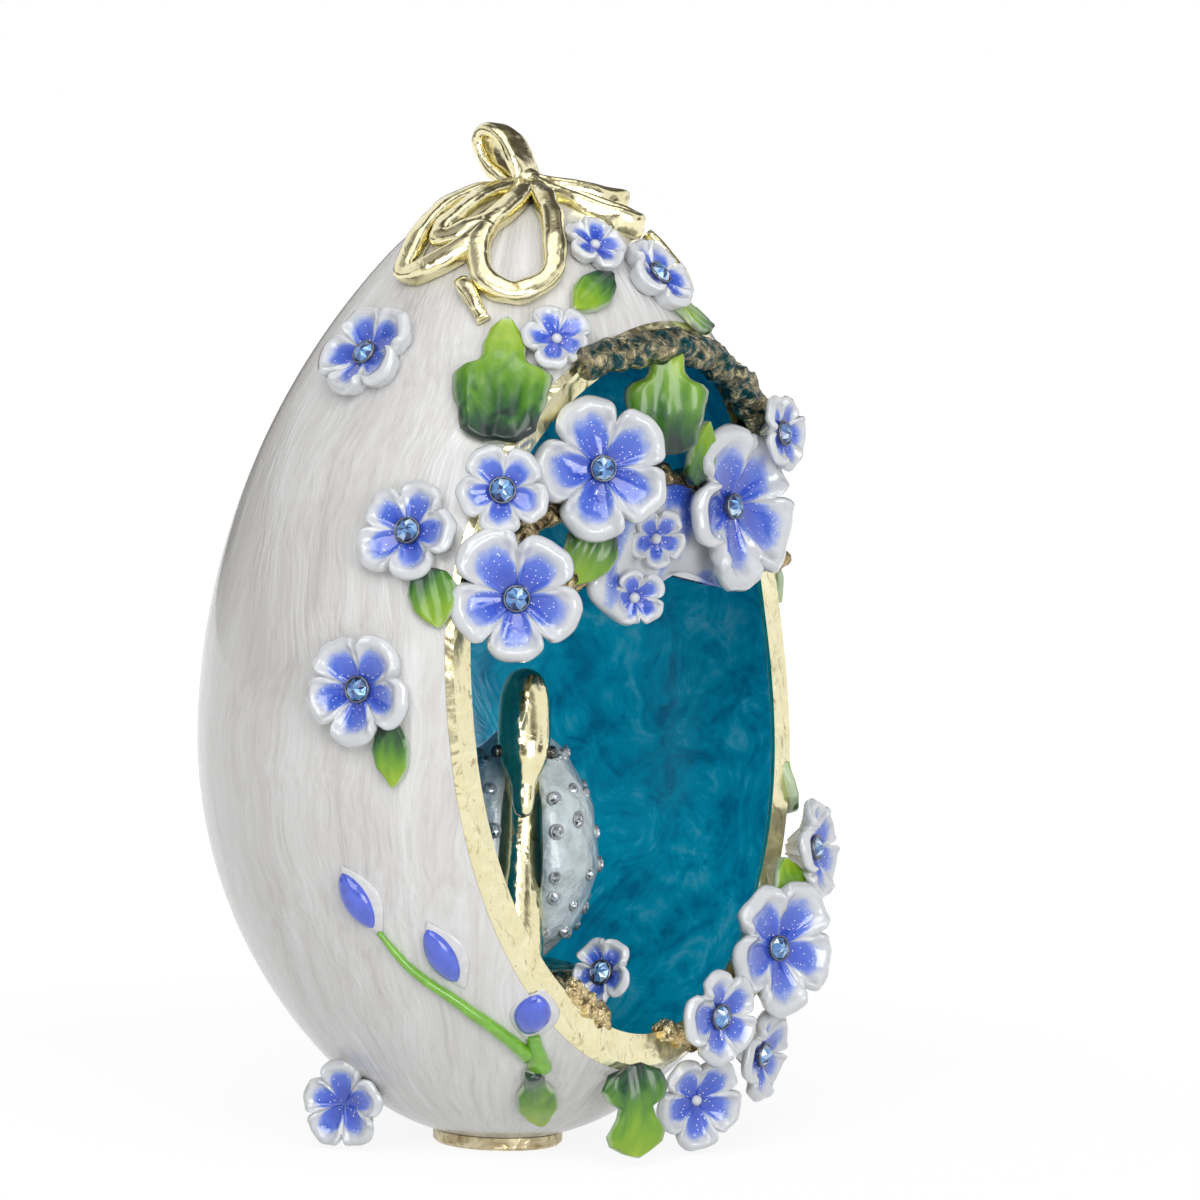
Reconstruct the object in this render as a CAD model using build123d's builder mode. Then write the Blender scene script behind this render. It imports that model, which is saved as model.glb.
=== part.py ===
from build123d import *
import os
from math import acos, atan2, cos, degrees, pi, radians, sin, sqrt, tan

os.makedirs("parts", exist_ok=True)

# Window egg ornament, millimetres. The floor is z = 0, the egg's axis is Z and its window faces -Y.
# Azimuths run from -Y towards +X, so a negative one lies on the viewer's left of the window.

# Egg outline: four tangent arcs from the base to the crown
egg_height = 94.3
belly_radius = 31.2
belly_rise = 41.0
base_arc_share = 0.737
crown_arc_share = 0.577

# Wall of the shell
wall = 2.3

# Window: cut by a plane that leans back, then by an arc that comes forward to the arch
window_knee_share = 0.442
window_knee_height = 50.6
window_lean = 7.4
window_top_height = 82.4
border_width = 0.8

# Base
cap_radius = 6.5
cap_thickness = 0.4
cap_height = 1.3
cap_chamfer = 0.3
seat_gap = 0.05

# Foot flowers under the back of the egg, each on a leg
foot_spread_share = 0.55
foot_flower_height = 4.2
foot_flower_share = 0.70
foot_azimuth = 114
foot_turn = 39
foot_pitch = -6
foot_spin = 18
leg_radius = 2.4
leg_length = 6.0

# Sill inside the window
ledge_top_height = 12.8
ledge_depth = 3.4

# Cast branches in the window
branch_radius = 1.3
branch_sides = 6

# Flowers
flower_radius = 6.5
petal_thickness = 0.8
petal_offset_share = 0.54
petal_width_share = 0.46
petal_lift_share = 0.10
petal_sides = 6
petal_tilt = 14
neck_radius = 1.5
neck_height = 0.5
neck_sides = 6
stone_radius = 1.05
stone_height = 1.1
stone_cup_depth = 0.5
stone_sides = 6
stone_facet_angle = 28

# Leaves and the web of the garland
leaf_length = 13.0
leaf_thickness = 1.0
leaf_rib_width = 1.0
leaf_rib_height = 0.5
web_thickness = 1.6

# Sprig in relief on the lower side
stem_width = 1.1
stem_thickness = 0.9
bud_radius = 2.2
bud_sides = 6
bud_flank_angle = 20

# Bow on the crown
knot_radius = 1.9
knot_foot_share = 0.7
knot_top_share = 0.5
knot_sides = 8
ribbon_thickness = 1.5
ribbon_width = 2.2
bow_loop_length = 14.0
bow_tail_length = 8.0
loop_sides = 12

# Swan and the ground under it
swan_height = 30.0
swan_sides = 8
eye_radius = 0.6
eye_height = 0.5
wing_thickness = 1.3
wing_stone_radius = 0.55
wing_stone_height = 0.5
ground_top_height = 18.6
ground_top_radius = 6.5
ground_shoulder_radius = 9.9
ground_shoulder_share = 0.70
ground_sides = 12
swan_back = 2.6
swan_left = 1.8
swan_azimuth = -50

overrun = 5.0

# Egg outline worked out: radii and centres of the four arcs
base_arc_radius = base_arc_share * belly_radius
crown_arc_radius = crown_arc_share * belly_radius
window_knee_depth = window_knee_share * belly_radius
foot_spread = foot_spread_share * belly_radius
base_centre = cap_thickness + base_arc_radius
belly_height = cap_thickness + belly_rise
crown_centre = cap_thickness + egg_height - crown_arc_radius
egg_top = cap_thickness + egg_height


def side_arc_radius(rise, end_radius):
    """Radius of a side arc, tangent to the belly circle and to the arc at one end of the egg."""
    return (belly_radius**2 + rise**2 - end_radius**2) / (2 * (belly_radius - end_radius))


lower_arc_radius = side_arc_radius(belly_height - base_centre, base_arc_radius)
upper_arc_radius = side_arc_radius(crown_centre - belly_height, crown_arc_radius)
lower_angle = degrees(atan2(belly_height - base_centre, lower_arc_radius - belly_radius))
upper_angle = degrees(atan2(crown_centre - belly_height, upper_arc_radius - belly_radius))


def egg_half(inset):
    """Half section of the egg with its outline drawn in by an inset."""
    with BuildSketch(Plane.XZ) as half:
        with BuildLine():
            base = CenterArc((0, base_centre), base_arc_radius - inset, -90, 90 - lower_angle)
            CenterArc((belly_radius - lower_arc_radius, belly_height),
                      lower_arc_radius - inset, -lower_angle, lower_angle)
            CenterArc((belly_radius - upper_arc_radius, belly_height),
                      upper_arc_radius - inset, 0, upper_angle)
            crown = CenterArc((0, crown_centre), crown_arc_radius - inset, upper_angle, 90 - upper_angle)
            Line(crown @ 1, base @ 0)
        make_face()
    return half.sketch


def egg_solid(inset):
    """Whole egg with its outline drawn in by an inset."""
    with BuildPart() as egg:
        add(egg_half(inset))
        revolve(axis=Axis.Z)
    return egg.part


def skin_at(height):
    """Radius of the egg's outside at a height, and the angle of its normal above the horizontal."""
    low_join = belly_height - lower_arc_radius * sin(radians(lower_angle))
    high_join = belly_height + upper_arc_radius * sin(radians(upper_angle))
    if height < low_join:
        middle, level, radius = 0, base_centre, base_arc_radius
    elif height < belly_height:
        middle, level, radius = belly_radius - lower_arc_radius, belly_height, lower_arc_radius
    elif height < high_join:
        middle, level, radius = belly_radius - upper_arc_radius, belly_height, upper_arc_radius
    else:
        middle, level, radius = 0, crown_centre, crown_arc_radius
    out = sqrt(radius**2 - (height - level) ** 2)
    return middle + out, degrees(atan2(height - level, out))


def facing(origin, azimuth, elevation, spin):
    """Plane at a point that faces an azimuth and elevation, its x axis level before the spin."""
    a, e = radians(azimuth), radians(elevation)
    out = Vector(sin(a) * cos(e), -cos(a) * cos(e), sin(e))
    level = Vector(cos(a), sin(a), 0)
    return Plane(origin=origin, x_dir=level.rotate(Axis((0, 0, 0), out), spin), z_dir=out)


def on_skin(azimuth, height_share, spin=0, turn=0, pitch=0):
    """Plane on the egg's outside at an azimuth and a share of its height."""
    radius, slope = skin_at(cap_thickness + height_share * egg_height)
    a = radians(azimuth)
    point = (radius * sin(a), -radius * cos(a), cap_thickness + height_share * egg_height)
    return facing(point, azimuth + turn, slope + pitch, spin)


# Window cut line, seen from the side, and the arc that ends it
arch_radius_at_top, arch_slope = skin_at(window_top_height)
knee = Vector(-window_knee_depth, window_knee_height)
lean_out = Vector(-cos(radians(window_lean)), sin(radians(window_lean)))
knee_to_arch = Vector(-arch_radius_at_top, window_top_height) - knee
arch_arc_radius = knee_to_arch.dot(knee_to_arch) / (2 * knee_to_arch.dot(lean_out))
arch_centre = knee + lean_out * arch_arc_radius


def cut_depth(height):
    """Distance of the window's cut face from the egg's axis plane at a height."""
    if height < window_knee_height:
        return window_knee_depth + (window_knee_height - height) * tan(radians(window_lean))
    return -arch_centre.X - sqrt(arch_arc_radius**2 - (height - arch_centre.Y) ** 2)


def window_cutter(setback):
    """Everything in front of the cut face, which is moved back by a setback."""
    foot = (-cut_depth(0) + setback, 0)
    turn = (setback - window_knee_depth, window_knee_height)
    centre = (arch_centre.X + setback, arch_centre.Y)
    start = -window_lean
    sweep_angle = degrees(acos((-belly_radius - arch_centre.X) / arch_arc_radius)) - start
    far = -belly_radius - overrun
    with BuildPart() as cutter:
        with BuildSketch(Plane.YZ):
            with BuildLine():
                Line(foot, turn)
                arc = CenterArc(centre, arch_arc_radius, start, sweep_angle)
                Polyline(arc @ 1, (far, (arc @ 1).Y), (far, 0), foot)
            make_face()
        extrude(amount=belly_radius + overrun, both=True)
    return cutter.part


egg_room = egg_solid(-seat_gap)
shell_room = egg_solid(-seat_gap) - egg_solid(wall + seat_gap) - window_cutter(-seat_gap)

# Shell, enamelled on both sides
with BuildPart() as shell_casting:
    add(egg_solid(0))
    add(egg_solid(wall), mode=Mode.SUBTRACT)
    add(window_cutter(border_width), mode=Mode.SUBTRACT)

# Gilded border round the window
with BuildPart() as window_border:
    add(egg_solid(0))
    add(egg_solid(wall), mode=Mode.SUBTRACT)
    add(window_cutter(0), mode=Mode.SUBTRACT)
    add(window_cutter(border_width - seat_gap), mode=Mode.INTERSECT)

# Dished cap under the egg, flat where it rests
with BuildPart() as base_cap:
    with BuildSketch():
        Circle(cap_radius)
    extrude(amount=cap_height)
    chamfer(base_cap.faces().sort_by(Axis.Z)[0].edges(), cap_chamfer)
    add(egg_room, mode=Mode.SUBTRACT)

# Rough ledge behind the sill, fitted to the bowl of the lining
ledge_front = cut_depth(ledge_top_height)
with BuildPart() as sill_ledge:
    add(egg_solid(wall + seat_gap))
    split(bisect_by=Plane.XY.offset(ledge_top_height), keep=Keep.BOTTOM)
    split(bisect_by=Plane.XZ.offset(ledge_front - ledge_depth), keep=Keep.TOP)
    add(window_cutter(seat_gap), mode=Mode.SUBTRACT)


# Ground under the swan: each low ring, by its share of the height, lies on the bowl of the shell
bowl_radius = base_arc_radius - wall - seat_gap
bowl_ring_shares = (0.18, 0.27, 0.40)
with BuildPart() as swan_ground:
    for share in bowl_ring_shares:
        height = share * ground_top_height
        with BuildSketch(Plane.XY.offset(height)):
            RegularPolygon(sqrt(bowl_radius**2 - (base_centre - height) ** 2), ground_sides)
    for height, radius in ((ground_shoulder_share * ground_top_height, ground_shoulder_radius),
                           (ground_top_height, ground_top_radius)):
        with BuildSketch(Plane(origin=(-swan_left, -swan_back, height))):
            RegularPolygon(radius, ground_sides)
    loft(ruled=True)


def branch(point_shares, radius):
    """Cast branch along an arc through three points of the window, given by share across and height."""
    points = []
    for across_share, height_share in point_shares:
        height = cap_thickness + height_share * egg_height
        points.append((across_share * belly_radius, -cut_depth(height) - branch_radius - seat_gap, height))
    with BuildPart() as rod:
        with BuildLine() as path:
            ThreePointArc(*points)
        with BuildSketch(Plane(origin=path.line @ 0, z_dir=path.line % 0)):
            RegularPolygon(radius, branch_sides)
        sweep()
    return rod.part


# Two strands cross the window and one follows the arch
upper_strand_shares = [(-0.86, 0.585), (-0.1, 0.715), (0.80, 0.64)]
lower_strand_shares = [(-0.84, 0.560), (0.02, 0.625), (0.82, 0.615)]
arch_strand_shares = [(-0.44, 0.836), (0.02, 0.850), (0.70, 0.735)]
with BuildPart() as garland_branch:
    add(branch(upper_strand_shares, branch_radius))
    add(branch(lower_strand_shares, branch_radius))
    add(shell_room, mode=Mode.SUBTRACT)
with BuildPart() as arch_branch:
    add(branch(arch_strand_shares, branch_radius))
    add(shell_room, mode=Mode.SUBTRACT)
strand_room = (branch(upper_strand_shares, branch_radius + seat_gap)
               + branch(lower_strand_shares, branch_radius + seat_gap)
               + branch(arch_strand_shares, branch_radius + seat_gap))


def in_window(across_share, height_share, out, azimuth, pitch=0, spin=0):
    """Plane in front of the window's cut face, facing an azimuth and pitch."""
    height = cap_thickness + height_share * egg_height
    return facing((across_share * belly_radius, -cut_depth(height) - out, height), azimuth, pitch, spin)


def flower(plane, size_share, reach=0, room=None):
    """Flower with five cupped petals, a cup for its stone and a neck that reaches back to its seat."""
    radius = flower_radius * size_share
    petal_place = Plane(origin=(radius * petal_offset_share, 0, neck_height + radius * petal_lift_share))
    with BuildPart() as bloom:
        with BuildSketch(Plane.XY.offset(-reach)):
            RegularPolygon(neck_radius, neck_sides)
        extrude(amount=reach + neck_height + petal_thickness)
        with PolarLocations(0, 5):
            with Locations(petal_place.rotated((0, -petal_tilt, 0))):
                add(petal(radius))
        with BuildSketch(Plane.XY.offset(neck_height + petal_thickness - stone_cup_depth)):
            RegularPolygon(stone_radius + seat_gap, stone_sides)
        extrude(amount=petal_thickness + stone_cup_depth + radius * petal_lift_share, mode=Mode.SUBTRACT)
    placed = plane.offset(seat_gap) * bloom.part
    return placed - room if room else placed


def petal(radius):
    """Rounded petal of a flower, thick at its rim, lying on its own plane."""
    with BuildPart(mode=Mode.PRIVATE) as blade:
        with BuildSketch():
            RegularPolygon(radius * petal_width_share, petal_sides)
        extrude(amount=petal_thickness)
    return blade.part


def leaf(plane, outline_shares, size_share, reach=0, room=None):
    """Leaf from the shares of its half outline, with a raised rib and a post behind."""
    length = leaf_length * size_share
    right = [(x * length, (y - 0.5) * length) for x, y in outline_shares]
    left = [(-x, y) for x, y in reversed(right[:-1])]
    with BuildPart() as blade:
        with BuildSketch():
            Polygon((0, -length / 2), *right, *left, align=None)
        extrude(amount=leaf_thickness)
        with BuildSketch(Plane.XY.offset(leaf_thickness)):
            Polygon((leaf_rib_width / 2, leaf_rib_width - length / 2), (0, length / 2 - leaf_rib_width),
                    (-leaf_rib_width / 2, leaf_rib_width - length / 2), align=None)
        extrude(amount=leaf_rib_height)
        if reach:
            with BuildSketch(Plane.XY.offset(-reach)):
                RegularPolygon(neck_radius, neck_sides)
            extrude(amount=reach)
    placed = plane.offset(seat_gap) * blade.part
    return placed - room if room else placed


def stone(plane, radius, height):
    """Flat-backed faceted stone that stands on the plane."""
    with BuildPart() as gem:
        with BuildSketch():
            RegularPolygon(radius, stone_sides)
        extrude(amount=height, taper=stone_facet_angle)
    return plane * gem.part


def stone_seat(plane):
    """Plane of the bottom of the cup in the flower that stands on a plane."""
    return plane.offset(2 * seat_gap + neck_height + petal_thickness - stone_cup_depth)


# Half outlines of the leaves, as shares of the length: across and along
lobed_leaf_shares = [(0.22, 0.06), (0.36, 0.22), (0.39, 0.46), (0.26, 0.52), (0.17, 0.42), (0.21, 0.62),
                     (0.17, 0.86), (0.0, 1.0)]
plain_leaf_shares = [(0.20, 0.12), (0.30, 0.42), (0.22, 0.76), (0.0, 1.0)]
foot_leaf_shares = [(0.30, 0.08), (0.42, 0.30), (0.34, 0.46), (0.16, 0.50), (0.33, 0.66), (0.30, 0.86),
                    (0.0, 1.0)]

window_room = shell_room + strand_room

# Flowers on the shell: azimuth, height share, size share, spin, stone, and whether one stands over a leaf
shell_flower_shares = {
    "flower_left_shoulder": (-97.5, 0.830, 0.77, 10, True, False),
    "flower_left_upper": (-73.7, 0.659, 0.78, 36, True, False),
    "flower_left_middle": (-80.0, 0.500, 0.82, 20, True, False),
    "flower_right_shoulder": (97.5, 0.830, 0.77, -10, True, False),
    "flower_right_upper": (73.7, 0.659, 0.78, -36, True, False),
    "flower_right_middle": (80.0, 0.500, 0.82, -20, True, False),
    "flower_arch_left": (-44.0, 0.864, 0.50, 0, False, False),
    "flower_arch_top": (-21.0, 0.947, 0.50, 30, False, False),
    "flower_arch_right": (5.0, 0.918, 0.66, 12, True, False),
    "flower_sill_side": (60.0, 0.306, 0.78, 0, True, True),
}

# Flowers in the window: across, height and stand-out shares, azimuth, pitch, size share, spin,
# reach share, stone
window_flower_shares = {
    "flower_garland_rim": (-0.725, 0.708, 0.20, -50, 8, 0.66, 0, 0.15, True),
    "flower_garland_large": (-0.330, 0.724, 0.52, -42, 6, 1.04, 22, 0.15, True),
    "flower_garland_lower": (-0.695, 0.596, 0.52, -48, 0, 1.00, 10, 0.15, True),
    "flower_garland_right": (0.400, 0.677, 0.50, 2, 4, 1.20, 0, 0.15, True),
    "flower_garland_bud_upper": (0.000, 0.650, 0.50, -30, 0, 0.46, 18, 0.15, False),
    "flower_garland_bud_lower": (-0.090, 0.590, 0.46, -38, -10, 0.46, 0, 0.15, False),
    "flower_arch_side": (0.640, 0.757, 0.50, 46, 10, 0.62, 30, 0.28, True),
    "flower_sill_middle": (0.250, 0.146, 0.30, -6, 0, 0.76, 0, 0.15, True),
    "flower_sill_right": (0.620, 0.207, 0.38, 14, 4, 0.94, 16, 0.30, True),
    "flower_sill_left": (-0.026, 0.194, -0.75, -30, 14, 0.52, 20, 1.00, False),
    "flower_foot_front": (0.300, 0.045, -0.12, -2, -12, 0.62, 18, 0.90, False),
    "flower_foot_side": (0.620, 0.088, -0.25, 36, -8, 0.68, 0, 1.20, True),
}

# Leaves on the shell: azimuth, height share, size share, spin, outline
shell_leaf_shares = {
    "leaf_opening_left": [(-57.5, 0.812, 1.00, 0, lobed_leaf_shares)],
    "leaf_arch_left": [(-29.0, 0.900, 0.42, 150, plain_leaf_shares)],
    "leaves_left_side": [(-73.4, 0.437, 0.46, 186, plain_leaf_shares),
                         (-67.4, 0.594, 0.42, 200, plain_leaf_shares)],
    "leaves_right_side": [(73.4, 0.437, 0.46, 174, plain_leaf_shares),
                          (67.4, 0.594, 0.42, 160, plain_leaf_shares)],
    "leaf_arch_side": [(13.7, 0.876, 0.40, 60, plain_leaf_shares)],
    "leaf_sill_side": [(60.5, 0.368, 0.42, 10, plain_leaf_shares)],
}

# Leaves in the window: across, height and stand-out shares, azimuth, pitch, size share, spin,
# reach share, outline
window_leaf_shares = {
    "leaf_garland_front": (-0.310, 0.635, 0.36, -36, 0, 0.46, 200, 0.10, plain_leaf_shares),
    "leaf_garland_right": (0.200, 0.738, 0.42, -10, 0, 0.50, -16, 0, plain_leaf_shares),
    "leaf_opening_right": (-0.020, 0.800, 0.42, -40, 0, 0.84, 0, 0.20, lobed_leaf_shares),
    "leaf_sill_right": (0.745, 0.262, 0.02, 6, 7, 0.44, 20, 0, plain_leaf_shares),
    "leaf_foot_front": (-0.080, 0.056, -0.12, -24, 0, 0.72, 184, 1.00, foot_leaf_shares),
}


finished = {}


def keep(name, shape):
    """Labels a finished piece and puts it in the list of parts."""
    shape.label = name
    finished[name] = shape


for name, solid in (("shell_casting", shell_casting), ("window_border", window_border),
                    ("base_cap", base_cap), ("sill_ledge", sill_ledge), ("swan_ground", swan_ground),
                    ("garland_branch", garland_branch), ("arch_branch", arch_branch)):
    keep(name, solid.part)

# What cuts the posts of the pieces that don't stand on the rim or the branches
other_rooms = {"flower_foot_front": egg_room, "flower_foot_side": egg_room, "leaf_foot_front": egg_room,
               "flower_sill_left": swan_ground.part}

# Flowers, and the stones that sit in their cups
stone_planes = []
for name, (azimuth, height_share, size_share, spin, has_stone, over_leaf) in shell_flower_shares.items():
    lift = leaf_thickness if over_leaf else 0
    plane = on_skin(azimuth, height_share, spin).offset(lift)
    keep(name, flower(plane, size_share, lift))
    if has_stone:
        stone_planes.append(stone_seat(plane))
for name, row in window_flower_shares.items():
    across_share, height_share, out_share, azimuth, pitch, size_share, spin, reach_share, has_stone = row
    plane = in_window(across_share, height_share, out_share * flower_radius, azimuth, pitch, spin)
    bloom = flower(plane, size_share, reach_share * flower_radius, other_rooms.get(name, window_room))
    keep(name, split(bloom, bisect_by=Plane.XY, keep=Keep.TOP))
    if has_stone:
        stone_planes.append(stone_seat(plane))

# Foot flowers under the back of the egg, cut flat where they stand, on legs that rise to the shell
for name, side in (("flower_foot_left", -1), ("flower_foot_right", 1)):
    a = radians(side * foot_azimuth)
    origin = Vector(foot_spread * sin(a), -foot_spread * cos(a), foot_flower_height)
    place = facing(origin, side * (foot_azimuth - foot_turn), foot_pitch, side * foot_spin)
    leg_foot = origin - place.z_dir * leg_radius
    with BuildPart() as leg:
        with BuildSketch(Plane(origin=leg_foot, z_dir=Vector(0, 0, base_centre) - leg_foot)):
            RegularPolygon(leg_radius, neck_sides)
        extrude(amount=leg_length)
    foot = (flower(place, foot_flower_share, leg_radius) + leg.part) - egg_room
    keep(name, split(foot, bisect_by=Plane.XY, keep=Keep.TOP))

# Leaves
for name, rows in shell_leaf_shares.items():
    blades = [leaf(on_skin(azimuth, height_share, spin), outline_shares, size_share)
              for azimuth, height_share, size_share, spin, outline_shares in rows]
    keep(name, Compound(children=blades) if len(blades) > 1 else blades[0])
for name, row in window_leaf_shares.items():
    across_share, height_share, out_share, azimuth, pitch, size_share, spin, reach_share, outline_shares = row
    plane = in_window(across_share, height_share, out_share * flower_radius, azimuth, pitch, spin)
    room = other_rooms.get(name, window_room)
    blade = leaf(plane, outline_shares, size_share, reach_share * flower_radius, room)
    keep(name, split(blade, bisect_by=Plane.XY, keep=Keep.TOP))

# Enamelled web that joins the flowers in the middle of the garland, by shares across and of the height.
# The flowers cut it, and the largest piece is the web.
web_outline_shares = [(-0.095, 0.684), (0.22, 0.704), (0.56, 0.622), (0.47, 0.590), (0.185, 0.613),
                      (0.0, 0.586), (-0.074, 0.559), (-0.236, 0.582), (-0.285, 0.606), (-0.218, 0.630)]
web_height_share, web_out_share = 0.63, 0.5
web_back = cut_depth(cap_thickness + web_height_share * egg_height)
web_front = web_back + web_out_share * flower_radius + seat_gap
with BuildPart() as garland_web:
    with BuildSketch(Plane.XZ.offset(web_front)):
        Polygon(*[(across * belly_radius, cap_thickness + height * egg_height)
                  for across, height in web_outline_shares], align=None)
    extrude(amount=-web_thickness)
web = garland_web.part - window_room
for name in ("flower_garland_large", "flower_garland_right", "flower_garland_bud_upper",
             "flower_garland_bud_lower", "leaf_garland_front", "leaf_garland_right"):
    web -= finished[name]
keep("garland_web", web.solids().sort_by(SortBy.VOLUME)[-1])


def tower(rows, place, size, sides):
    """Ruled loft up a path in the middle plane of a place: forward, up, lean and radius shares."""
    with BuildPart() as body:
        for forward, up, lean, radius in rows:
            with BuildSketch(Plane(origin=(forward * size, 0, up * size), x_dir=(0, 1, 0),
                                   z_dir=(cos(radians(lean)), 0, sin(radians(lean))))):
                RegularPolygon(radius * size, sides)
        loft(ruled=True)
    return place * body.part


# Swan: rows of forward, up, lean and radius shares of its height
swan_body_shares = [(0.0, 0.0, 90, 0.04), (0.015, 0.12, 90, 0.10), (0.015, 0.27, 90, 0.13),
                    (0.015, 0.40, 90, 0.10), (0.015, 0.48, 90, 0.03)]
swan_neck_shares = [(0.340, -0.02, 118, 0.085), (0.255, 0.22, 108, 0.080), (0.205, 0.42, 95, 0.070),
                    (0.205, 0.62, 86, 0.065), (0.250, 0.85, 72, 0.055)]
swan_head_shares = [(0.215, 0.985, -62, 0.03), (0.235, 0.95, -66, 0.075), (0.265, 0.87, -70, 0.095),
                    (0.300, 0.78, -72, 0.085), (0.330, 0.69, -72, 0.055), (0.355, 0.60, -72, 0.020)]
swan_place = Plane(origin=(-swan_left, -swan_back, ground_top_height + seat_gap),
                   x_dir=(sin(radians(swan_azimuth)), -cos(radians(swan_azimuth)), 0), z_dir=(0, 0, 1))
body = tower(swan_body_shares, swan_place, swan_height, swan_sides)
neck = tower(swan_neck_shares, swan_place, swan_height, swan_sides)
head = tower(swan_head_shares, swan_place, swan_height, swan_sides)
head_room = tower([(forward, up, lean, radius + seat_gap / swan_height)
                   for forward, up, lean, radius in swan_head_shares], swan_place, swan_height, swan_sides)
keep("swan_neck", split(neck - head_room, bisect_by=swan_place, keep=Keep.TOP))
keep("swan_body", body)
keep("swan_head", head)

# Eyes, one on each side of the head: forward, out and up shares
eye_forward_share, eye_out_share, eye_up_share = 0.292, 0.083, 0.80
with BuildPart() as swan_eyes:
    for side in (-1, 1):
        eye_point = Vector(eye_forward_share, side * eye_out_share, eye_up_share) * swan_height
        with BuildSketch(Plane(origin=eye_point, z_dir=(0, side, 0))):
            RegularPolygon(eye_radius, swan_sides)
        extrude(amount=eye_height)
keep("swan_eyes", swan_place * swan_eyes.part - head)


# Wings: rows of up and radius shares and sweep angles, each a crescent round the body
wing_rows = [(0.0, 0.07, 64), (0.15, 0.215, 96), (0.34, 0.275, 116), (0.55, 0.245, 106), (0.82, 0.04, 60)]
wing_centre = 0.075 * swan_height
wing_front = 34
wing_steps = 4
wing_taper_share = 0.2


def wing_point(side, row, step, depth=0):
    """Point of a wing's crescent, at a depth below its outer face."""
    up, radius, sweep_angle = wing_rows[row]
    turn = radians(wing_front + sweep_angle * step / wing_steps)
    out = radius * swan_height - depth * min(1, radius / wing_taper_share)
    return Vector(wing_centre + out * cos(turn), side * out * sin(turn), up * swan_height)


def wing(side):
    """Curved wing with the outline of a petal, hollow towards the body."""
    with BuildPart() as shell:
        for row in range(len(wing_rows)):
            outer = [wing_point(side, row, step) for step in range(wing_steps + 1)]
            inner = [wing_point(side, row, step, wing_thickness) for step in reversed(range(wing_steps + 1))]
            with BuildSketch(Plane.XY.offset(wing_rows[row][0] * swan_height)):
                Polygon(*[(point.X, point.Y) for point in outer + inner], align=None)
        loft(ruled=True)
    return swan_place * shell.part


def wing_stone(side, row, step):
    """Stone in the middle of one facet of a wing."""
    corners = [wing_point(side, row + up, step + along) for up, along in ((0, 0), (0, 1), (1, 1), (1, 0))]
    middle = (corners[0] + corners[1] + corners[2] + corners[3]) / 4
    out = (corners[2] - corners[0]).cross(corners[3] - corners[1]).normalized() * side
    facet = Plane(origin=middle, z_dir=out).offset(2 * seat_gap)
    return swan_place * stone(facet, wing_stone_radius, wing_stone_height)


keep("swan_wing_left", wing(-1))
keep("swan_wing_right", wing(1))
keep("swan_wing_stones", Compound(children=[wing_stone(side, row, step) for side in (-1, 1)
                                            for row in (1, 2) for step in range(wing_steps)]))

# Bow: free loops round a knot, each with azimuth, elevation, lean, length share and width share
bow_loop_shares = [(173, 42, 90, 0.62, 0.36), (18, -17, 0, 0.92, 0.42), (58, -8, 0, 0.78, 0.40)]
knot_place = (0, 0, egg_top + knot_radius * knot_top_share)

# Loops of ribbon that lie on the crown, from the knot round and back: azimuth and height share
lying_loop_shares = [
    [(-30, 0.9995), (-37, 0.985), (-40, 0.950), (-44, 0.915), (-55, 0.896), (-65, 0.906), (-71, 0.930),
     (-71, 0.960), (-62, 0.985), (-60, 0.9995)],
    [(-95, 0.9995), (-93, 0.990), (-92, 0.975), (-95, 0.958), (-90, 0.947), (-79, 0.957), (-70, 0.971),
     (-62, 0.985)],
    [(-125, 0.9995), (-118, 0.990), (-110, 0.968), (-103, 0.935), (-98, 0.911), (-88, 0.920), (-77, 0.940),
     (-71, 0.960)],
]


def bow_loop(azimuth, elevation, lean, length_share, width_share):
    """Closed loop of ribbon that starts in the knot."""
    out = facing(knot_place, azimuth, elevation, lean)
    length, width = bow_loop_length * length_share, bow_loop_length * width_share
    with BuildPart() as ring:
        with BuildSketch(Plane(origin=knot_place, x_dir=out.z_dir, z_dir=out.y_dir)):
            for inset, mode in ((0, Mode.ADD), (ribbon_thickness, Mode.SUBTRACT)):
                turns = [2 * pi * step / loop_sides for step in range(loop_sides)]
                Polygon(*[((length / 2 - inset) * cos(turn) + length / 2, (width / 2 - inset) * sin(turn))
                          for turn in turns], align=None, mode=mode)
        extrude(amount=ribbon_width / 2, both=True)
    return ring.part


def lying_bar(first, second, width, height):
    """Straight bar that lies on the shell between two places."""
    along = on_skin(*second).origin - on_skin(*first).origin
    middle = on_skin((first[0] + second[0]) / 2, (first[1] + second[1]) / 2)
    with BuildPart() as bar:
        with BuildSketch(Plane(origin=middle.origin, x_dir=along, z_dir=middle.z_dir).offset(seat_gap)):
            Rectangle(along.length + width, width)
        extrude(amount=height)
    return bar.part


with BuildPart() as ribbon_bow:
    with BuildSketch(Plane(origin=knot_place).offset(-knot_radius)):
        RegularPolygon(knot_radius * knot_foot_share, knot_sides)
    with BuildSketch(Plane(origin=knot_place)):
        RegularPolygon(knot_radius, knot_sides)
    with BuildSketch(Plane(origin=knot_place).offset(knot_radius)):
        RegularPolygon(knot_radius * knot_top_share, knot_sides)
    loft(ruled=True)
    for row in bow_loop_shares:
        add(bow_loop(*row))
    add(egg_room, mode=Mode.SUBTRACT)
    for points in lying_loop_shares:
        for first, second in zip(points, points[1:]):
            add(lying_bar(first, second, ribbon_thickness, ribbon_width))
keep("ribbon_bow", ribbon_bow.part)

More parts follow.
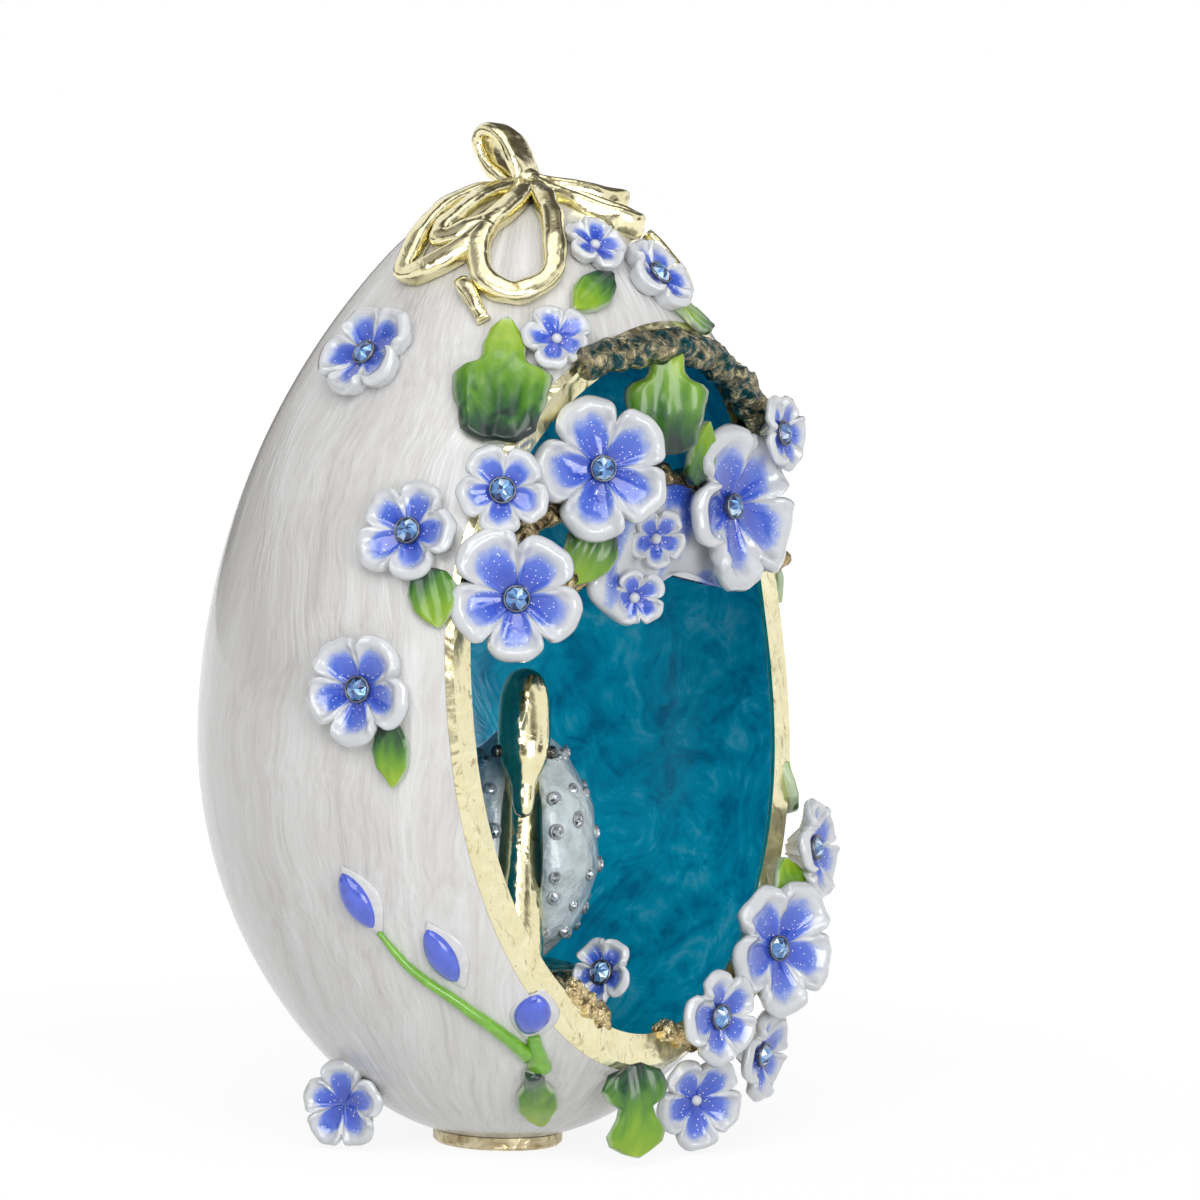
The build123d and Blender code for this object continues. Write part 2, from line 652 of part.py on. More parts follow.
# Two ribbon ends lying on the shell: azimuth, height share, spin and length share
bow_tail_shares = [(33, 0.932, -12, 0.85), (-68, 0.878, 40, 0.50)]
with BuildPart() as bow_tails:
    for azimuth, height_share, spin, length_share in bow_tail_shares:
        with BuildSketch(on_skin(azimuth, height_share, spin).offset(seat_gap)):
            Rectangle(ribbon_thickness, bow_tail_length * length_share)
        extrude(amount=ribbon_thickness)
keep("bow_tails", bow_tails.part)

# Sprig on each side: stem points and buds, by azimuth and height share
sprig_stem_shares = [(-78.0, 0.252), (-72.2, 0.215), (-63.1, 0.183), (-51.7, 0.145), (-43.9, 0.1165)]
sprig_bud_shares = [(-81.8, 0.282, 14), (-65.2, 0.230, 14), (-45.6, 0.170, -10)]
sprig_leaf_shares = (-40.2, 0.075, 195, 0.72)
narrow_leaf_shares = [(0.10, 0.10), (0.12, 0.26), (0.21, 0.42), (0.22, 0.72), (0.14, 0.92), (0.0, 1.0)]
sprig_turn = 30


def bud(azimuth, height_share, spin):
    """Rounded bud lying on the shell."""
    with BuildPart() as drop:
        with BuildSketch(on_skin(azimuth, height_share, spin).offset(seat_gap)):
            RegularPolygon(bud_radius, bud_sides)
        extrude(amount=stem_thickness, taper=bud_flank_angle)
    return drop.part


stems, buds, blades = [], [], []
for side, turn in ((1, 0), (-1, sprig_turn)):
    points = [(side * azimuth + turn, height_share) for azimuth, height_share in sprig_stem_shares]
    with BuildPart() as stem:
        for first, second in zip(points, points[1:]):
            add(lying_bar(first, second, stem_width, stem_thickness))
    stems.append(stem.part)
    for azimuth, height_share, spin in sprig_bud_shares:
        buds.append(bud(side * azimuth + turn, height_share, side * spin))
    azimuth, height_share, spin, size_share = sprig_leaf_shares
    place = on_skin(side * azimuth + turn, height_share, side * spin)
    blades.append(leaf(place, narrow_leaf_shares, size_share))
keep("sprig_stems", Compound(children=stems))
keep("sprig_buds", Compound(children=buds))
keep("sprig_leaves", Compound(children=blades))

# Stones in the flowers
keep("flower_stones", Compound(children=[stone(plane, stone_radius, stone_height)
                                         for plane in stone_planes]))

for name, shape in finished.items():
    export_step(shape, "parts/" + name + ".step")
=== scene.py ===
from math import copysign, cos, pi, radians, sin, sqrt, tau

import bpy
import numpy as np
from mathutils import Matrix, Quaternion, Vector, noise
from mathutils.bvhtree import BVHTree


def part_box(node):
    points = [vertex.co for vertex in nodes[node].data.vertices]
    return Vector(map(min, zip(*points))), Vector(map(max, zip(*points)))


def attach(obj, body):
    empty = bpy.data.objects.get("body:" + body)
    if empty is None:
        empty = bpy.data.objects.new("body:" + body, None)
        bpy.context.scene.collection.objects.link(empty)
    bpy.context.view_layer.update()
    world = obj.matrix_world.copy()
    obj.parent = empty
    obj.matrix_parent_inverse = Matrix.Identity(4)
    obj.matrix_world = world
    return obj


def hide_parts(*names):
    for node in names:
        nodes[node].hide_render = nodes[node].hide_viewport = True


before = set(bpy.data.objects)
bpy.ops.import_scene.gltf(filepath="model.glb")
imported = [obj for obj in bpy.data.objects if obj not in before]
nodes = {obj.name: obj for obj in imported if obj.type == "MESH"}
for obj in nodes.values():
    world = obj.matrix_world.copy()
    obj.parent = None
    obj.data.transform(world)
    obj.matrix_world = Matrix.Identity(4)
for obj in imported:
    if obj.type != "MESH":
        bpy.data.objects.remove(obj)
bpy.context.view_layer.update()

# The row frame in metres. Azimuths run from -Y, out of the window, towards +X.
mm = 0.001

# Sizes read from the frame
egg_low, egg_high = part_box("shell_casting")
egg_height = egg_high.z - egg_low.z
belly_radius = egg_high.x

shell_data = nodes["shell_casting"].data
skin = BVHTree.FromPolygons([v.co for v in shell_data.vertices], [p.vertices for p in shell_data.polygons])
border_data = nodes["window_border"].data
cut_points = sorted({(round(border_data.vertices[i].co.z, 6), -border_data.vertices[i].co.y)
                     for p in border_data.polygons if p.normal.y < -0.9 for i in p.vertices})
cut_heights = [height for height, depth in cut_points]
cut_depths = [depth for height, depth in cut_points]


def at_height(height_share):
    """Height of a share of the egg's height."""
    return egg_low.z + height_share * egg_height


def cut_depth(height):
    """Distance of the window's cut face from the egg's axis plane at a height."""
    return float(np.interp(height, cut_heights, cut_depths))


def framed(origin, level, out):
    """Placement at a point from its x and z axes."""
    placed = Matrix((level, out.cross(level), out)).transposed().to_4x4()
    placed.translation = Vector(origin)
    return placed


def facing(origin, azimuth, elevation, spin=0):
    """Placement at a point that faces an azimuth and elevation, its x axis level before the spin."""
    a, e = radians(azimuth), radians(elevation)
    out = Vector((sin(a) * cos(e), -cos(a) * cos(e), sin(e)))
    level = Vector((cos(a), sin(a), 0))
    level.rotate(Quaternion(out, radians(spin)))
    return framed(origin, level, out)


skin_step = 0.3 * mm


def on_skin(azimuth, height_share, spin=0, lift=0.0):
    """Placement on the egg's outside at an azimuth and a share of its height."""
    a = radians(azimuth)
    out = Vector((sin(a), -cos(a), 0))
    level = Vector((0, 0, at_height(height_share)))
    point = skin.ray_cast(level + out * 2 * belly_radius, -out)[0]
    below = skin.ray_cast(level - Vector((0, 0, skin_step)) + out * 2 * belly_radius, -out)[0]
    rise = point - below
    slope = np.degrees(np.arctan2(-rise.dot(out), rise.z))
    return facing(point, azimuth, slope, spin) @ Matrix.Translation((0, 0, lift))


def in_window(across_share, height_share, out, azimuth, pitch=0, spin=0):
    """Placement in front of the window's cut face, facing an azimuth and pitch."""
    height = at_height(height_share)
    return facing((across_share * belly_radius, -cut_depth(height) - out, height), azimuth, pitch, spin)


def smooth(low, high, value):
    """Smooth step from 0 to 1."""
    t = min(1, max(0, (value - low) / (high - low)))
    return t * t * (3 - 2 * t)


def lumps(point, size, seed=0):
    """Soft random height between -1 and 1 at a point, for lumps of a size."""
    return noise.noise(Vector(point) / size + Vector((seed * 7.3, seed * 3.1, seed * 5.7)))


def circle(count):
    """Cosine and sine of evenly spaced angles around a circle."""
    return [(cos(tau * j / count), sin(tau * j / count)) for j in range(count)]


def merge(parts):
    """One list of points, faces and attribute values from several."""
    points, faces, values = [], [], []
    for part in parts:
        start = len(points)
        points += list(part[0])
        faces += [tuple(i + start for i in face) for face in part[1]]
        values += list(part[2]) if len(part) > 2 else [0.0] * len(part[0])
    return points, faces, values


def write_values(data, name, values):
    """Values at a mesh's points, for its material."""
    data.attributes.new(name, "FLOAT", "POINT").data.foreach_set("value", values)


def linked(name, data):
    """New object in the scene."""
    obj = bpy.data.objects.new(name, data)
    bpy.context.scene.collection.objects.link(obj)
    return obj


def piece(name, parts, material, node, attribute_name=None):
    """Object of joined parts in the row frame, in place of a CAD node if one is named."""
    points, faces, values = merge(parts)
    data = bpy.data.meshes.new(name)
    data.from_pydata([tuple(p) for p in points], [], faces)
    data.update()
    if attribute_name:
        write_values(data, attribute_name, values)
    data.polygons.foreach_set("use_smooth", [True] * len(data.polygons))
    data.materials.append(material)
    obj = linked(name, data)
    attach(obj, "root")
    if node:
        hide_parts(node)
    return obj


def loft(rings, ends=True):
    """Points and faces of a skin through closed rings of equal length, capped at both ends."""
    count = len(rings[0])
    points = [p for ring in rings for p in ring]
    pairs = [(j, (j + 1) % count) for j in range(count)]
    faces = [(start + j, start + k, start + count + k, start + count + j)
             for start in range(0, (len(rings) - 1) * count, count) for j, k in pairs]
    if ends:
        points += [sum(map(Vector, ring), Vector()) / count for ring in (rings[0], rings[-1])]
        low, high, last = len(points) - 2, len(points) - 1, (len(rings) - 1) * count
        for j, k in pairs:
            faces += [(k, j, low), (last + j, last + k, high)]
    return points, faces


def surface(spot, rows, steps):
    """Skin of the points that a function gives for each row and each direction around it."""
    return loft([[spot(row, c, s) for c, s in circle(steps)] for row in rows])


def lathe(place, profile, sides):
    """Skin turned around a place's axis from a profile of radii and heights."""
    return surface(lambda row, c, s: place @ Vector((row[0] * c, row[0] * s, row[1])), profile, sides)


# Materials

def feed(net, socket, value):
    """Links an input to a socket, or sets it to a number, a vector or a colour of three numbers."""
    if isinstance(value, bpy.types.NodeSocket):
        net.links.new(value, socket)
    else:
        socket.default_value = (*value, 1) if socket.type == "RGBA" else value


def add(net, kind, inputs, output=0, **settings):
    """Output socket of a new shader node with its settings and inputs."""
    node = net.nodes.new("ShaderNode" + kind)
    for key, value in settings.items():
        setattr(node, key, value)
    for key, value in inputs.items():
        feed(net, node.inputs[key], value)
    return node.outputs[output]


def shader(name, color, roughness=0.3, metallic=0.0, coat=0.0):
    """New material with its node tree and its Principled shader set to plain values."""
    material = bpy.data.materials.new(name)
    material.use_nodes = True
    net = material.node_tree
    bsdf = net.nodes["Principled BSDF"]
    for key, value in (("Base Color", color), ("Roughness", roughness), ("Metallic", metallic),
                       ("Coat Weight", coat), ("Coat Roughness", 0.06)):
        feed(net, bsdf.inputs[key], value)
    return material, net, bsdf


def coords(net, stretch=(1, 1, 1)):
    """Coordinates in millimetres, stretched along each axis."""
    return add(net, "Mapping", {"Vector": add(net, "TexCoord", {}, "Object"),
                                "Scale": tuple(s / mm for s in stretch)})


def noise_field(net, vector, size, detail=4.0, rough=0.55, distortion=0.0, output="Fac"):
    """Noise with features of a size in the units of its coordinates."""
    return add(net, "TexNoise", {"Vector": vector, "Scale": 1 / size, "Detail": detail, "Roughness": rough,
                                 "Distortion": distortion}, output)


def ramp(net, value, stops):
    """Colours at stops between 0 and 1."""
    colours = net.nodes.new("ShaderNodeValToRGB")
    elements = colours.color_ramp.elements
    while len(elements) < len(stops):
        elements.new(0.5)
    for element, (place, colour) in zip(elements, stops):
        element.position = place
        element.color = (*colour, 1)
    net.links.new(value, colours.inputs["Fac"])
    return colours.outputs["Color"]


def span(net, value, low, high, to_low, to_high):
    """Value mapped from one range to another."""
    return add(net, "MapRange", {"Value": value, "From Min": low, "From Max": high, "To Min": to_low,
                                 "To Max": to_high}, "Result")


def compute(net, operation, *values):
    """Result of a Math node on sockets or numbers."""
    return add(net, "Math", dict(enumerate(values)), operation=operation)


def weighted(net, *terms):
    """Sum of sockets, each times its weight."""
    total, *others = [compute(net, "MULTIPLY", *term) for term in terms]
    for other in others:
        total = compute(net, "ADD", total, other)
    return total


def vector_math(net, operation, inputs, output="Vector"):
    """Result of a Vector Math node."""
    return add(net, "VectorMath", inputs, output, operation=operation)


def mix(net, factor, first, second):
    """Mix of two colours, each a socket or three numbers."""
    return add(net, "Mix", {0: factor, 6: first, 7: second}, 2, data_type="RGBA")


def dress(net, bsdf, colour, height, depth, roughness=None):
    """Gives a shader its colour, a bump of a depth in millimetres and, if named, its roughness."""
    normal = add(net, "Bump", {"Height": height, "Strength": 1.0, "Distance": depth * mm})
    net.links.new(colour, bsdf.inputs["Base Color"])
    net.links.new(normal, bsdf.inputs["Normal"])
    if roughness:
        net.links.new(roughness, bsdf.inputs["Roughness"])


def attribute(net, name):
    """Value of a mesh attribute."""
    return add(net, "Attribute", {}, "Fac", attribute_name=name)


def gilding(name, light=(0.84, 0.77, 0.47), painted_dark=(0.42, 0.31, 0.11), painted_dark_share=0.2, lump=2.5, depth=0.25,
            roughness=0.1, detail=2, pits=0.0):
    """Polished gold plating on a hand-finished casting, with painted shade and painted dark reflections in
    its hollows, a painted highlight on the tops of its lumps, and dark brown pits.
    """
    material, net, bsdf = shader(name, light, roughness, 1.0)
    place = coords(net)
    tone = noise_field(net, place, lump, detail, 0.6, 0.6)
    # The dark colour where the lumps are low is painted shade and painted dark reflection. The palest colour
    # on the highest lumps is a painted highlight.
    colour = ramp(net, tone, [(painted_dark_share, painted_dark), (painted_dark_share + 0.18, light), (1.0, (0.93, 0.89, 0.64))])
    wear = noise_field(net, place, 0.8, 3)
    if pits:
        marks = noise_field(net, coords(net, (1, 1, 0.5)), 1.0, 5, 0.7, 0.8)
        colour = mix(net, span(net, marks, 0.56, 0.7, 0, pits), colour, (0.22, 0.12, 0.04))
    height = compute(net, "ADD", tone, compute(net, "MULTIPLY", wear, 0.04 * detail))
    dress(net, bsdf, colour, height, depth, span(net, wear, 0.3, 0.8, roughness, roughness + 0.12))
    return material


warp_size = 22


def axes(net, vector):
    """X, Y and Z of a vector."""
    node = net.nodes.new("ShaderNodeSeparateXYZ")
    net.links.new(vector, node.inputs["Vector"])
    return node.outputs


def wrapped(net, around, stretch, warp):
    """Coordinates around the egg's axis in millimetres, stretched along its height and warped at random."""
    place = axes(net, add(net, "TexCoord", {}, "Object"))
    level = add(net, "CombineXYZ", {"X": place["X"], "Y": place["Y"]})
    unit = axes(net, vector_math(net, "NORMALIZE", {0: level}))
    joined = add(net, "CombineXYZ", {"X": compute(net, "MULTIPLY", unit["X"], around),
                                     "Y": compute(net, "MULTIPLY", unit["Y"], around),
                                     "Z": compute(net, "MULTIPLY", place["Z"], stretch / mm)})
    drift = noise_field(net, coords(net), warp_size, 2, 0.5, 0.0, "Color")
    return vector_math(net, "ADD", {0: joined, 1: vector_math(net, "SCALE", {0: drift, "Scale": warp})})


def pearl_and_turquoise():
    """Pearl white enamel on the outside of the shell and swirled turquoise enamel on its inside."""
    material, net, bsdf = shader("pearl_and_turquoise", (0.8, 0.8, 0.8), 0.24, 0.0, 0.5)
    wide = noise_field(net, wrapped(net, 24, 0.3, 8), 9, 2, 0.5, 0.3)
    middle = noise_field(net, wrapped(net, 24, 0.08, 7), 1.7, 3, 0.6, 0.3)
    fine = noise_field(net, wrapped(net, 24, 0.045, 9), 0.55, 3, 0.6, 0.2)
    pearl_tone = weighted(net, (wide, 0.35), (middle, 0.65 * 0.55), (fine, 0.65 * 0.45))
    pearl = ramp(net, pearl_tone, [(0.34, (0.53, 0.52, 0.51)), (0.46, (0.65, 0.64, 0.63)),
                                   (0.56, (0.72, 0.715, 0.71)), (0.68, (0.82, 0.82, 0.82))])
    swirl = noise_field(net, coords(net, (1.0, 0.8, 1.2)), 11, 2, 0.5, 2.6)
    feather = noise_field(net, wrapped(net, 15, 0.16, 34), 2.6, 3, 0.55, 0.6)
    thin = noise_field(net, wrapped(net, 15, 0.2, 42), 0.9, 3, 0.6, 0.4)
    swirl_tone = weighted(net, (swirl, 0.4), (feather, 0.36), (thin, 0.24))
    turquoise = ramp(net, swirl_tone, [(0.38, (0.0, 0.23, 0.42)), (0.46, (0.0, 0.36, 0.58)),
                                       (0.54, (0.0, 0.48, 0.71)), (0.66, (0.12, 0.63, 0.84))])
    from_middle = vector_math(net, "SUBTRACT", {0: add(net, "TexCoord", {}, "Object"),
                                                1: (0, 0, (egg_low.z + egg_high.z) / 2)})
    normal = add(net, "NewGeometry", {}, "Normal")
    outwards = vector_math(net, "DOT_PRODUCT", {0: from_middle, 1: normal}, "Value")
    outside = compute(net, "GREATER_THAN", outwards, 0.0)
    height = mix(net, outside, compute(net, "MULTIPLY", swirl_tone, 0.5), pearl_tone)
    dress(net, bsdf, mix(net, outside, turquoise, pearl), height, 0.45)
    return material


def petal_enamel():
    """White enamel that turns blue towards the middle of each petal, with pale specks of glitter in the blue:
    the flakes are the enamel's own, their sparkle is a painted glint.
    """
    material, net, bsdf = shader("petal_enamel", (0.7, 0.7, 0.75), 0.16, 0.0, 0.9)
    place = coords(net)
    tint = attribute(net, "tint")
    ragged = compute(net, "ADD", tint, span(net, noise_field(net, place, 1.3, 4, 0.6), 0.2, 0.8, -0.07, 0.07))
    colour = ramp(net, ragged, [(0.0, (0.02, 0.06, 0.36)), (0.45, (0.025, 0.075, 0.54)),
                                (0.74, (0.07, 0.15, 0.64)), (0.85, (0.27, 0.35, 0.7)),
                                (0.93, (0.55, 0.58, 0.65)), (1.0, (0.63, 0.645, 0.67))])
    specks = add(net, "TexVoronoi", {"Vector": place, "Scale": 2.2}, "Distance")
    in_blue = compute(net, "LESS_THAN", tint, 0.9)
    # Pale specks of glitter: the flakes are real, their brightness is a painted glint.
    glitter = compute(net, "MULTIPLY", compute(net, "LESS_THAN", specks, 0.16), in_blue)
    painted_glint_colour = mix(net, compute(net, "MULTIPLY", glitter, 0.7), colour, (0.85, 0.88, 0.95))
    dress(net, bsdf, painted_glint_colour, noise_field(net, place, 1.8, 2), 0.18)
    return material


def leaf_enamel():
    """Green enamel with pale edges, dark towards the stalk."""
    material, net, bsdf = shader("leaf_enamel", (0.2, 0.5, 0.05), 0.3, 0.0, 0.35)
    edge = attribute(net, "tint")
    along = attribute(net, "along")
    grain = noise_field(net, coords(net, (1, 1, 0.5)), 2.6, 3, 0.5, 1.0)
    tone = compute(net, "ADD", along, span(net, grain, 0.25, 0.75, -0.22, 0.22))
    green = ramp(net, tone, [(0.02, (0.003, 0.018, 0.014)), (0.16, (0.01, 0.07, 0.018)),
                             (0.36, (0.06, 0.2, 0.01)), (0.62, (0.15, 0.33, 0.01)), (1.0, (0.3, 0.46, 0.02))])
    ragged = compute(net, "ADD", edge, span(net, grain, 0.2, 0.8, -0.06, 0.06))
    pale = ramp(net, ragged, [(0.86, (0, 0, 0)), (1.0, (0.85, 0.85, 0.85))])
    dress(net, bsdf, mix(net, pale, green, (0.5, 0.6, 0.44)), grain, 0.06)
    return material


# In every gilding below, the dark colour in the hollows is painted shade and painted dark reflection.
gold = gilding("gold_polished", depth=0.16)
gold_border = gilding("gold_border", painted_dark_share=0.14, lump=3.4, depth=0.34, roughness=0.16, pits=0.75)
gold_base = gilding("gold_base", light=(0.4, 0.31, 0.17), painted_dark=(0.16, 0.1, 0.04), roughness=0.3, lump=1.5)
# The near-black colour in the hollows of the rough branches, the ground and the nuggets is painted shade.
gold_rough = gilding("gold_rough", light=(0.58, 0.45, 0.24), painted_dark=(0.045, 0.03, 0.015), painted_dark_share=0.38,
                     lump=1.2, depth=1.0, roughness=0.15, detail=5)
gold_nugget = gilding("gold_nugget", light=(0.74, 0.6, 0.33), painted_dark=(0.1, 0.06, 0.02), painted_dark_share=0.32,
                      lump=0.9, depth=0.9, roughness=0.1, detail=4)
# The arch branch's darker gold is painted shade under the arch. Its teal hollows are painted shade and a
# painted reflection of the turquoise lining.
gold_painted_teal_shade = gilding("gold_painted_teal_shade", light=(0.42, 0.36, 0.22), painted_dark=(0.004, 0.06, 0.07), painted_dark_share=0.42,
                    lump=1.3, depth=1.0, roughness=0.15, detail=5)
shell_enamel = pearl_and_turquoise()
petal_material = petal_enamel()
leaf_material = leaf_enamel()


def plain(name, color, roughness=0.25, metallic=0.0, coat=0.5, spread=0.15, size=1.0, depth=0.05):
    """One colour with slight variation in tone, gloss and level."""
    material, net, bsdf = shader(name, color, roughness, metallic, coat)
    tone = noise_field(net, coords(net), size, 4)
    darker = tuple(c * (1 - spread) for c in color)
    lighter = tuple(min(1, c * (1 + spread)) for c in color)
    colour = ramp(net, tone, [(0.3, darker), (0.7, lighter)])
    dress(net, bsdf, colour, tone, depth, span(net, tone, 0.3, 0.7, roughness, roughness * 1.5))
    return material


bud_material = plain("bud_enamel", (0.07, 0.12, 0.62), 0.15, coat=0.8)
sheath_material = plain("sheath_enamel", (0.66, 0.66, 0.67), 0.2, coat=0.6, spread=0.06)
stem_material = plain("stem_enamel", (0.16, 0.42, 0.02), 0.2, coat=0.8)
wing_material = plain("wing_enamel", (0.5, 0.58, 0.61), 0.16, coat=0.9, spread=0.22, size=1.9, depth=0.8)
eye_material = plain("eye_enamel", (0.012, 0.012, 0.014), 0.08, coat=1.0)


def cut_stone(name, painted_dark, middle, light):
    """Cut stone whose facets have painted dark, coloured and bright reflections, each facet a tone of its
    own.
    """
    material, net, bsdf = shader(name, middle, 0.05, 0.35, 1.0)
    tone = attribute(net, "tone")
    colour = ramp(net, tone, [(0.1, painted_dark), (0.45, middle), (0.75, middle), (0.95, light)])
    flaws = noise_field(net, coords(net), 0.4, 2)
    dress(net, bsdf, colour, flaws, 0.015, span(net, flaws, 0.3, 0.7, 0.04, 0.12))
    return material


# The dark and light colours of both stones are painted reflections.
sapphire = cut_stone("sapphire_stone", (0.01, 0.03, 0.13), (0.13, 0.32, 0.66), (0.62, 0.8, 0.95))
crystal = cut_stone("clear_stone", (0.06, 0.07, 0.08), (0.45, 0.5, 0.54), (0.95, 0.97, 1.0))
setting = plain("stone_setting", (0.16, 0.17, 0.2), 0.22, 0.9, 0.3)
rim_material = plain("wing_stone_rim", (0.3, 0.33, 0.35), 0.25, 0.5, 0.5)


# Shell, border and base keep their CAD form
def finish_cad(name, material, bevel=0.0):
    """Gives a shown CAD node its material and softened edges."""
    obj = nodes[name]
    obj.data.materials.clear()
    obj.data.materials.append(material)
    if bevel:
        modifier = obj.modifiers.new("soft_edges", "BEVEL")
        modifier.width = bevel
        modifier.segments = 3
        modifier.limit_method = "ANGLE"
        modifier.angle_limit = radians(40)
        modifier.harden_normals = True


finish_cad("shell_casting", shell_enamel)
finish_cad("window_border", gold_border, 0.25 * mm)
finish_cad("base_cap", gold_base)

# Flowers
petal_count = 5
top_shares = np.linspace(0.1, 1.0, 19)
notch_share = 0.3
petal_steps = 32


def flower_mesh(place, radius, seed, swirl=1.0, back=0.5, skirt=((0.8, 0.22), (0.45, 0.24))):
    """Cast flower of five scooped petals with rolled rims, from its middle over the rim to its back."""
    steps = petal_steps * petal_count
    rings, tints = [], []
    backs = [(1.03, 0.07), (0.98, 0.16), *skirt, (skirt[-1][0] * 0.5, back)]
    for s, drop in [(share, 0) for share in top_shares] + backs:
        under = drop > 0
        ring = []
        for j in range(steps):
            turn = tau * j / steps
            petal, phase = divmod(j, petal_steps)
            phi = 2 * phase / petal_steps - 1
            lobe = abs(phi)
            size = 1 + 0.16 * lumps((petal * 1.7, 0, 0), 1, seed)
            size += 0.05 * lumps((phi * 2, petal * 3.1, 0), 1, seed)
            rim = radius * size * (1 - notch_share * (1 - sqrt(max(0, 1 - lobe**2.4))))
            r = rim * s
            ridge = 0.075 * s * np.exp(-(((lobe - 0.8) / 0.15) ** 2)) - 0.05 * smooth(0.9, 1.0, lobe)
            scoop = 0.02 + 0.25 * s**1.6 + ridge + 0.05 * phi * swirl * s
            roll = 0.045 * np.exp(-(((s - 0.86) / 0.09) ** 2)) - 0.07 * smooth(0.9, 1.0, s)
            z = radius * (scoop + roll - drop)
            point = Vector((r * cos(turn), r * sin(turn), z))
            point.z += radius * 0.055 * lumps(point, radius * 0.5, seed)
            ring.append(place @ point)
            tints.append(2.0 if under else s / 0.86 + 0.42 * lobe**3 * min(1, s / 0.35))
        rings.append(ring)
    points, faces = loft(rings)
    return points, faces, tints + [0.0, 2.0]


def brilliant(place, radius, height, tones, sides=8):
    """Faceted stone: girdle, kites and a star of triangles, each facet with a tone of its own that picks its
    painted reflection.
    """
    def spot(share, level, step):
        out, turn = radius * share, tau * step / sides
        return place @ Vector((out * cos(turn), out * sin(turn), height * level))

    facets = []
    for j in range(sides):
        facets.append([spot(1, 0, j), spot(1, 0, j + 1), spot(1, 0.3, j + 1), spot(1, 0.3, j)])
        facets.append([spot(1, 0.3, j), spot(1, 0.3, j + 1), spot(0.62, 0.8, j + 0.5)])
        facets.append([spot(1, 0.3, j), spot(0.62, 0.8, j + 0.5), spot(0.3, 0.95, j),
                       spot(0.62, 0.8, j - 0.5)])
        facets.append([spot(0, 1, 0), spot(0.3, 0.95, j), spot(0.62, 0.8, j + 0.5), spot(0.3, 0.95, j + 1)])
    return merge([(facet, [range(len(facet))], [tones.uniform(0, 1)] * len(facet)) for facet in facets])


def faceted(name, parts, material, node):
    """Object of stones in place of a CAD node, with sharp facets."""
    obj = piece(name, parts, material, node, "tone")
    obj.data.polygons.foreach_set("use_smooth", [False] * len(obj.data.polygons))


# Profiles of a stone's cup and of a dot, and the stone's size
flower_radius = 6.5 * mm
stone_radius, stone_height, stone_lift = 1.12 * mm, 0.85 * mm, 0.3 * mm
dot_radius, dot_height, dot_lift = 0.55 * mm, 0.5 * mm, 0.1 * mm
cup_profile = [(radius * mm, height * mm) for radius, height in
               ((1.28, -0.3), (1.32, 0.45), (1.25, 0.66), (1.14, 0.62), (1.08, 0.2))]
dot_profile = [(dot_radius * cos(e), dot_height * sin(e) + dot_lift) for e in (-0.5, 0, 0.5, 1.0, 1.4)]
stone_parts, cup_parts, dot_parts = [], [], []
facet_tones = np.random.default_rng(11)


def petals(name, parts):
    """Petals in place of a CAD flower."""
    piece("petals_" + name, parts, petal_material, "flower_" + name, "tint")


def flower(name, place, size_share, has_stone, seed, swirl, *body):
    """Flower in place of a CAD flower, with its stone or its dot."""
    radius = flower_radius * size_share
    petals(name, [flower_mesh(place, radius, seed, swirl, *body)])
    seat = place @ Matrix.Translation((0, 0, radius * 0.03))
    if has_stone:
        cup_parts.append(lathe(seat, cup_profile, 24))
        stone_place = seat @ Matrix.Translation((0, 0, stone_lift))
        stone_parts.append(brilliant(stone_place, stone_radius, stone_height, facet_tones))
    else:
        dot_parts.append(lathe(seat, dot_profile, 16))


# Flowers on the shell: azimuth, height share, size share, spin, stone, lift in millimetres, swirl
shell_flowers = {
    "left_shoulder": (-97.5, 0.83, 0.77, 10, True, 0.5, 1),
    "left_upper": (-73.7, 0.659, 0.78, 36, True, 0.5, -1),
    "left_middle": (-80.0, 0.5, 0.82, 20, True, 0.5, 1),
    "right_shoulder": (97.5, 0.83, 0.77, -10, True, 0.5, 1),
    "right_upper": (73.7, 0.659, 0.78, -36, True, 0.5, 1),
    "right_middle": (80.0, 0.5, 0.82, -20, True, 0.5, -1),
    "arch_left": (-43.2, 0.853, 0.52, 0, False, 0.6, 1),
    "arch_top": (-21.0, 0.947, 0.5, 30, False, 0.6, 1),
    "arch_right": (5.0, 0.918, 0.66, 12, True, 0.6, 1),
}

# Flowers in the window: across, height and stand-out shares, azimuth, pitch, size share, spin, stone, swirl
window_flowers = {
    "garland_rim": (-0.74, 0.706, 0.2, -50, 8, 0.66, 14, True, -1),
    "garland_large": (-0.335, 0.726, 0.52, -42, 6, 1.06, 4, True, 1),
    "garland_lower": (-0.715, 0.598, 0.52, -48, 0, 1.0, 18, True, 1),
    "garland_right": (0.385, 0.68, 0.5, 0, 4, 1.26, 8, True, -1),
    "garland_bud_upper": (0.0, 0.65, 0.5, -30, 0, 0.46, 18, False, 1),
    "garland_bud_lower": (-0.09, 0.59, 0.46, -38, -10, 0.46, 0, False, 1),
    "arch_side": (0.56, 0.757, 0.62, 10, 8, 0.62, 30, True, 1),
    "sill_middle": (0.25, 0.146, 0.3, -6, 0, 0.76, 0, True, 1),
    "sill_right": (0.585, 0.208, 0.33, -12, 6, 1.02, 16, True, -1),
    "sill_side": (0.84, 0.308, 0.3, 17, 6, 0.78, 0, True, 1),
    "sill_left": (-0.045, 0.192, -0.75, -92, 20, 0.55, 20, True, 1),
    "foot_front": (0.255, 0.054, -0.16, -26, -6, 0.74, 18, False, 1),
    "foot_side": (0.59, 0.092, -0.12, 12, -6, 0.74, 0, True, 1),
}
flower_lift = 0.5 * mm
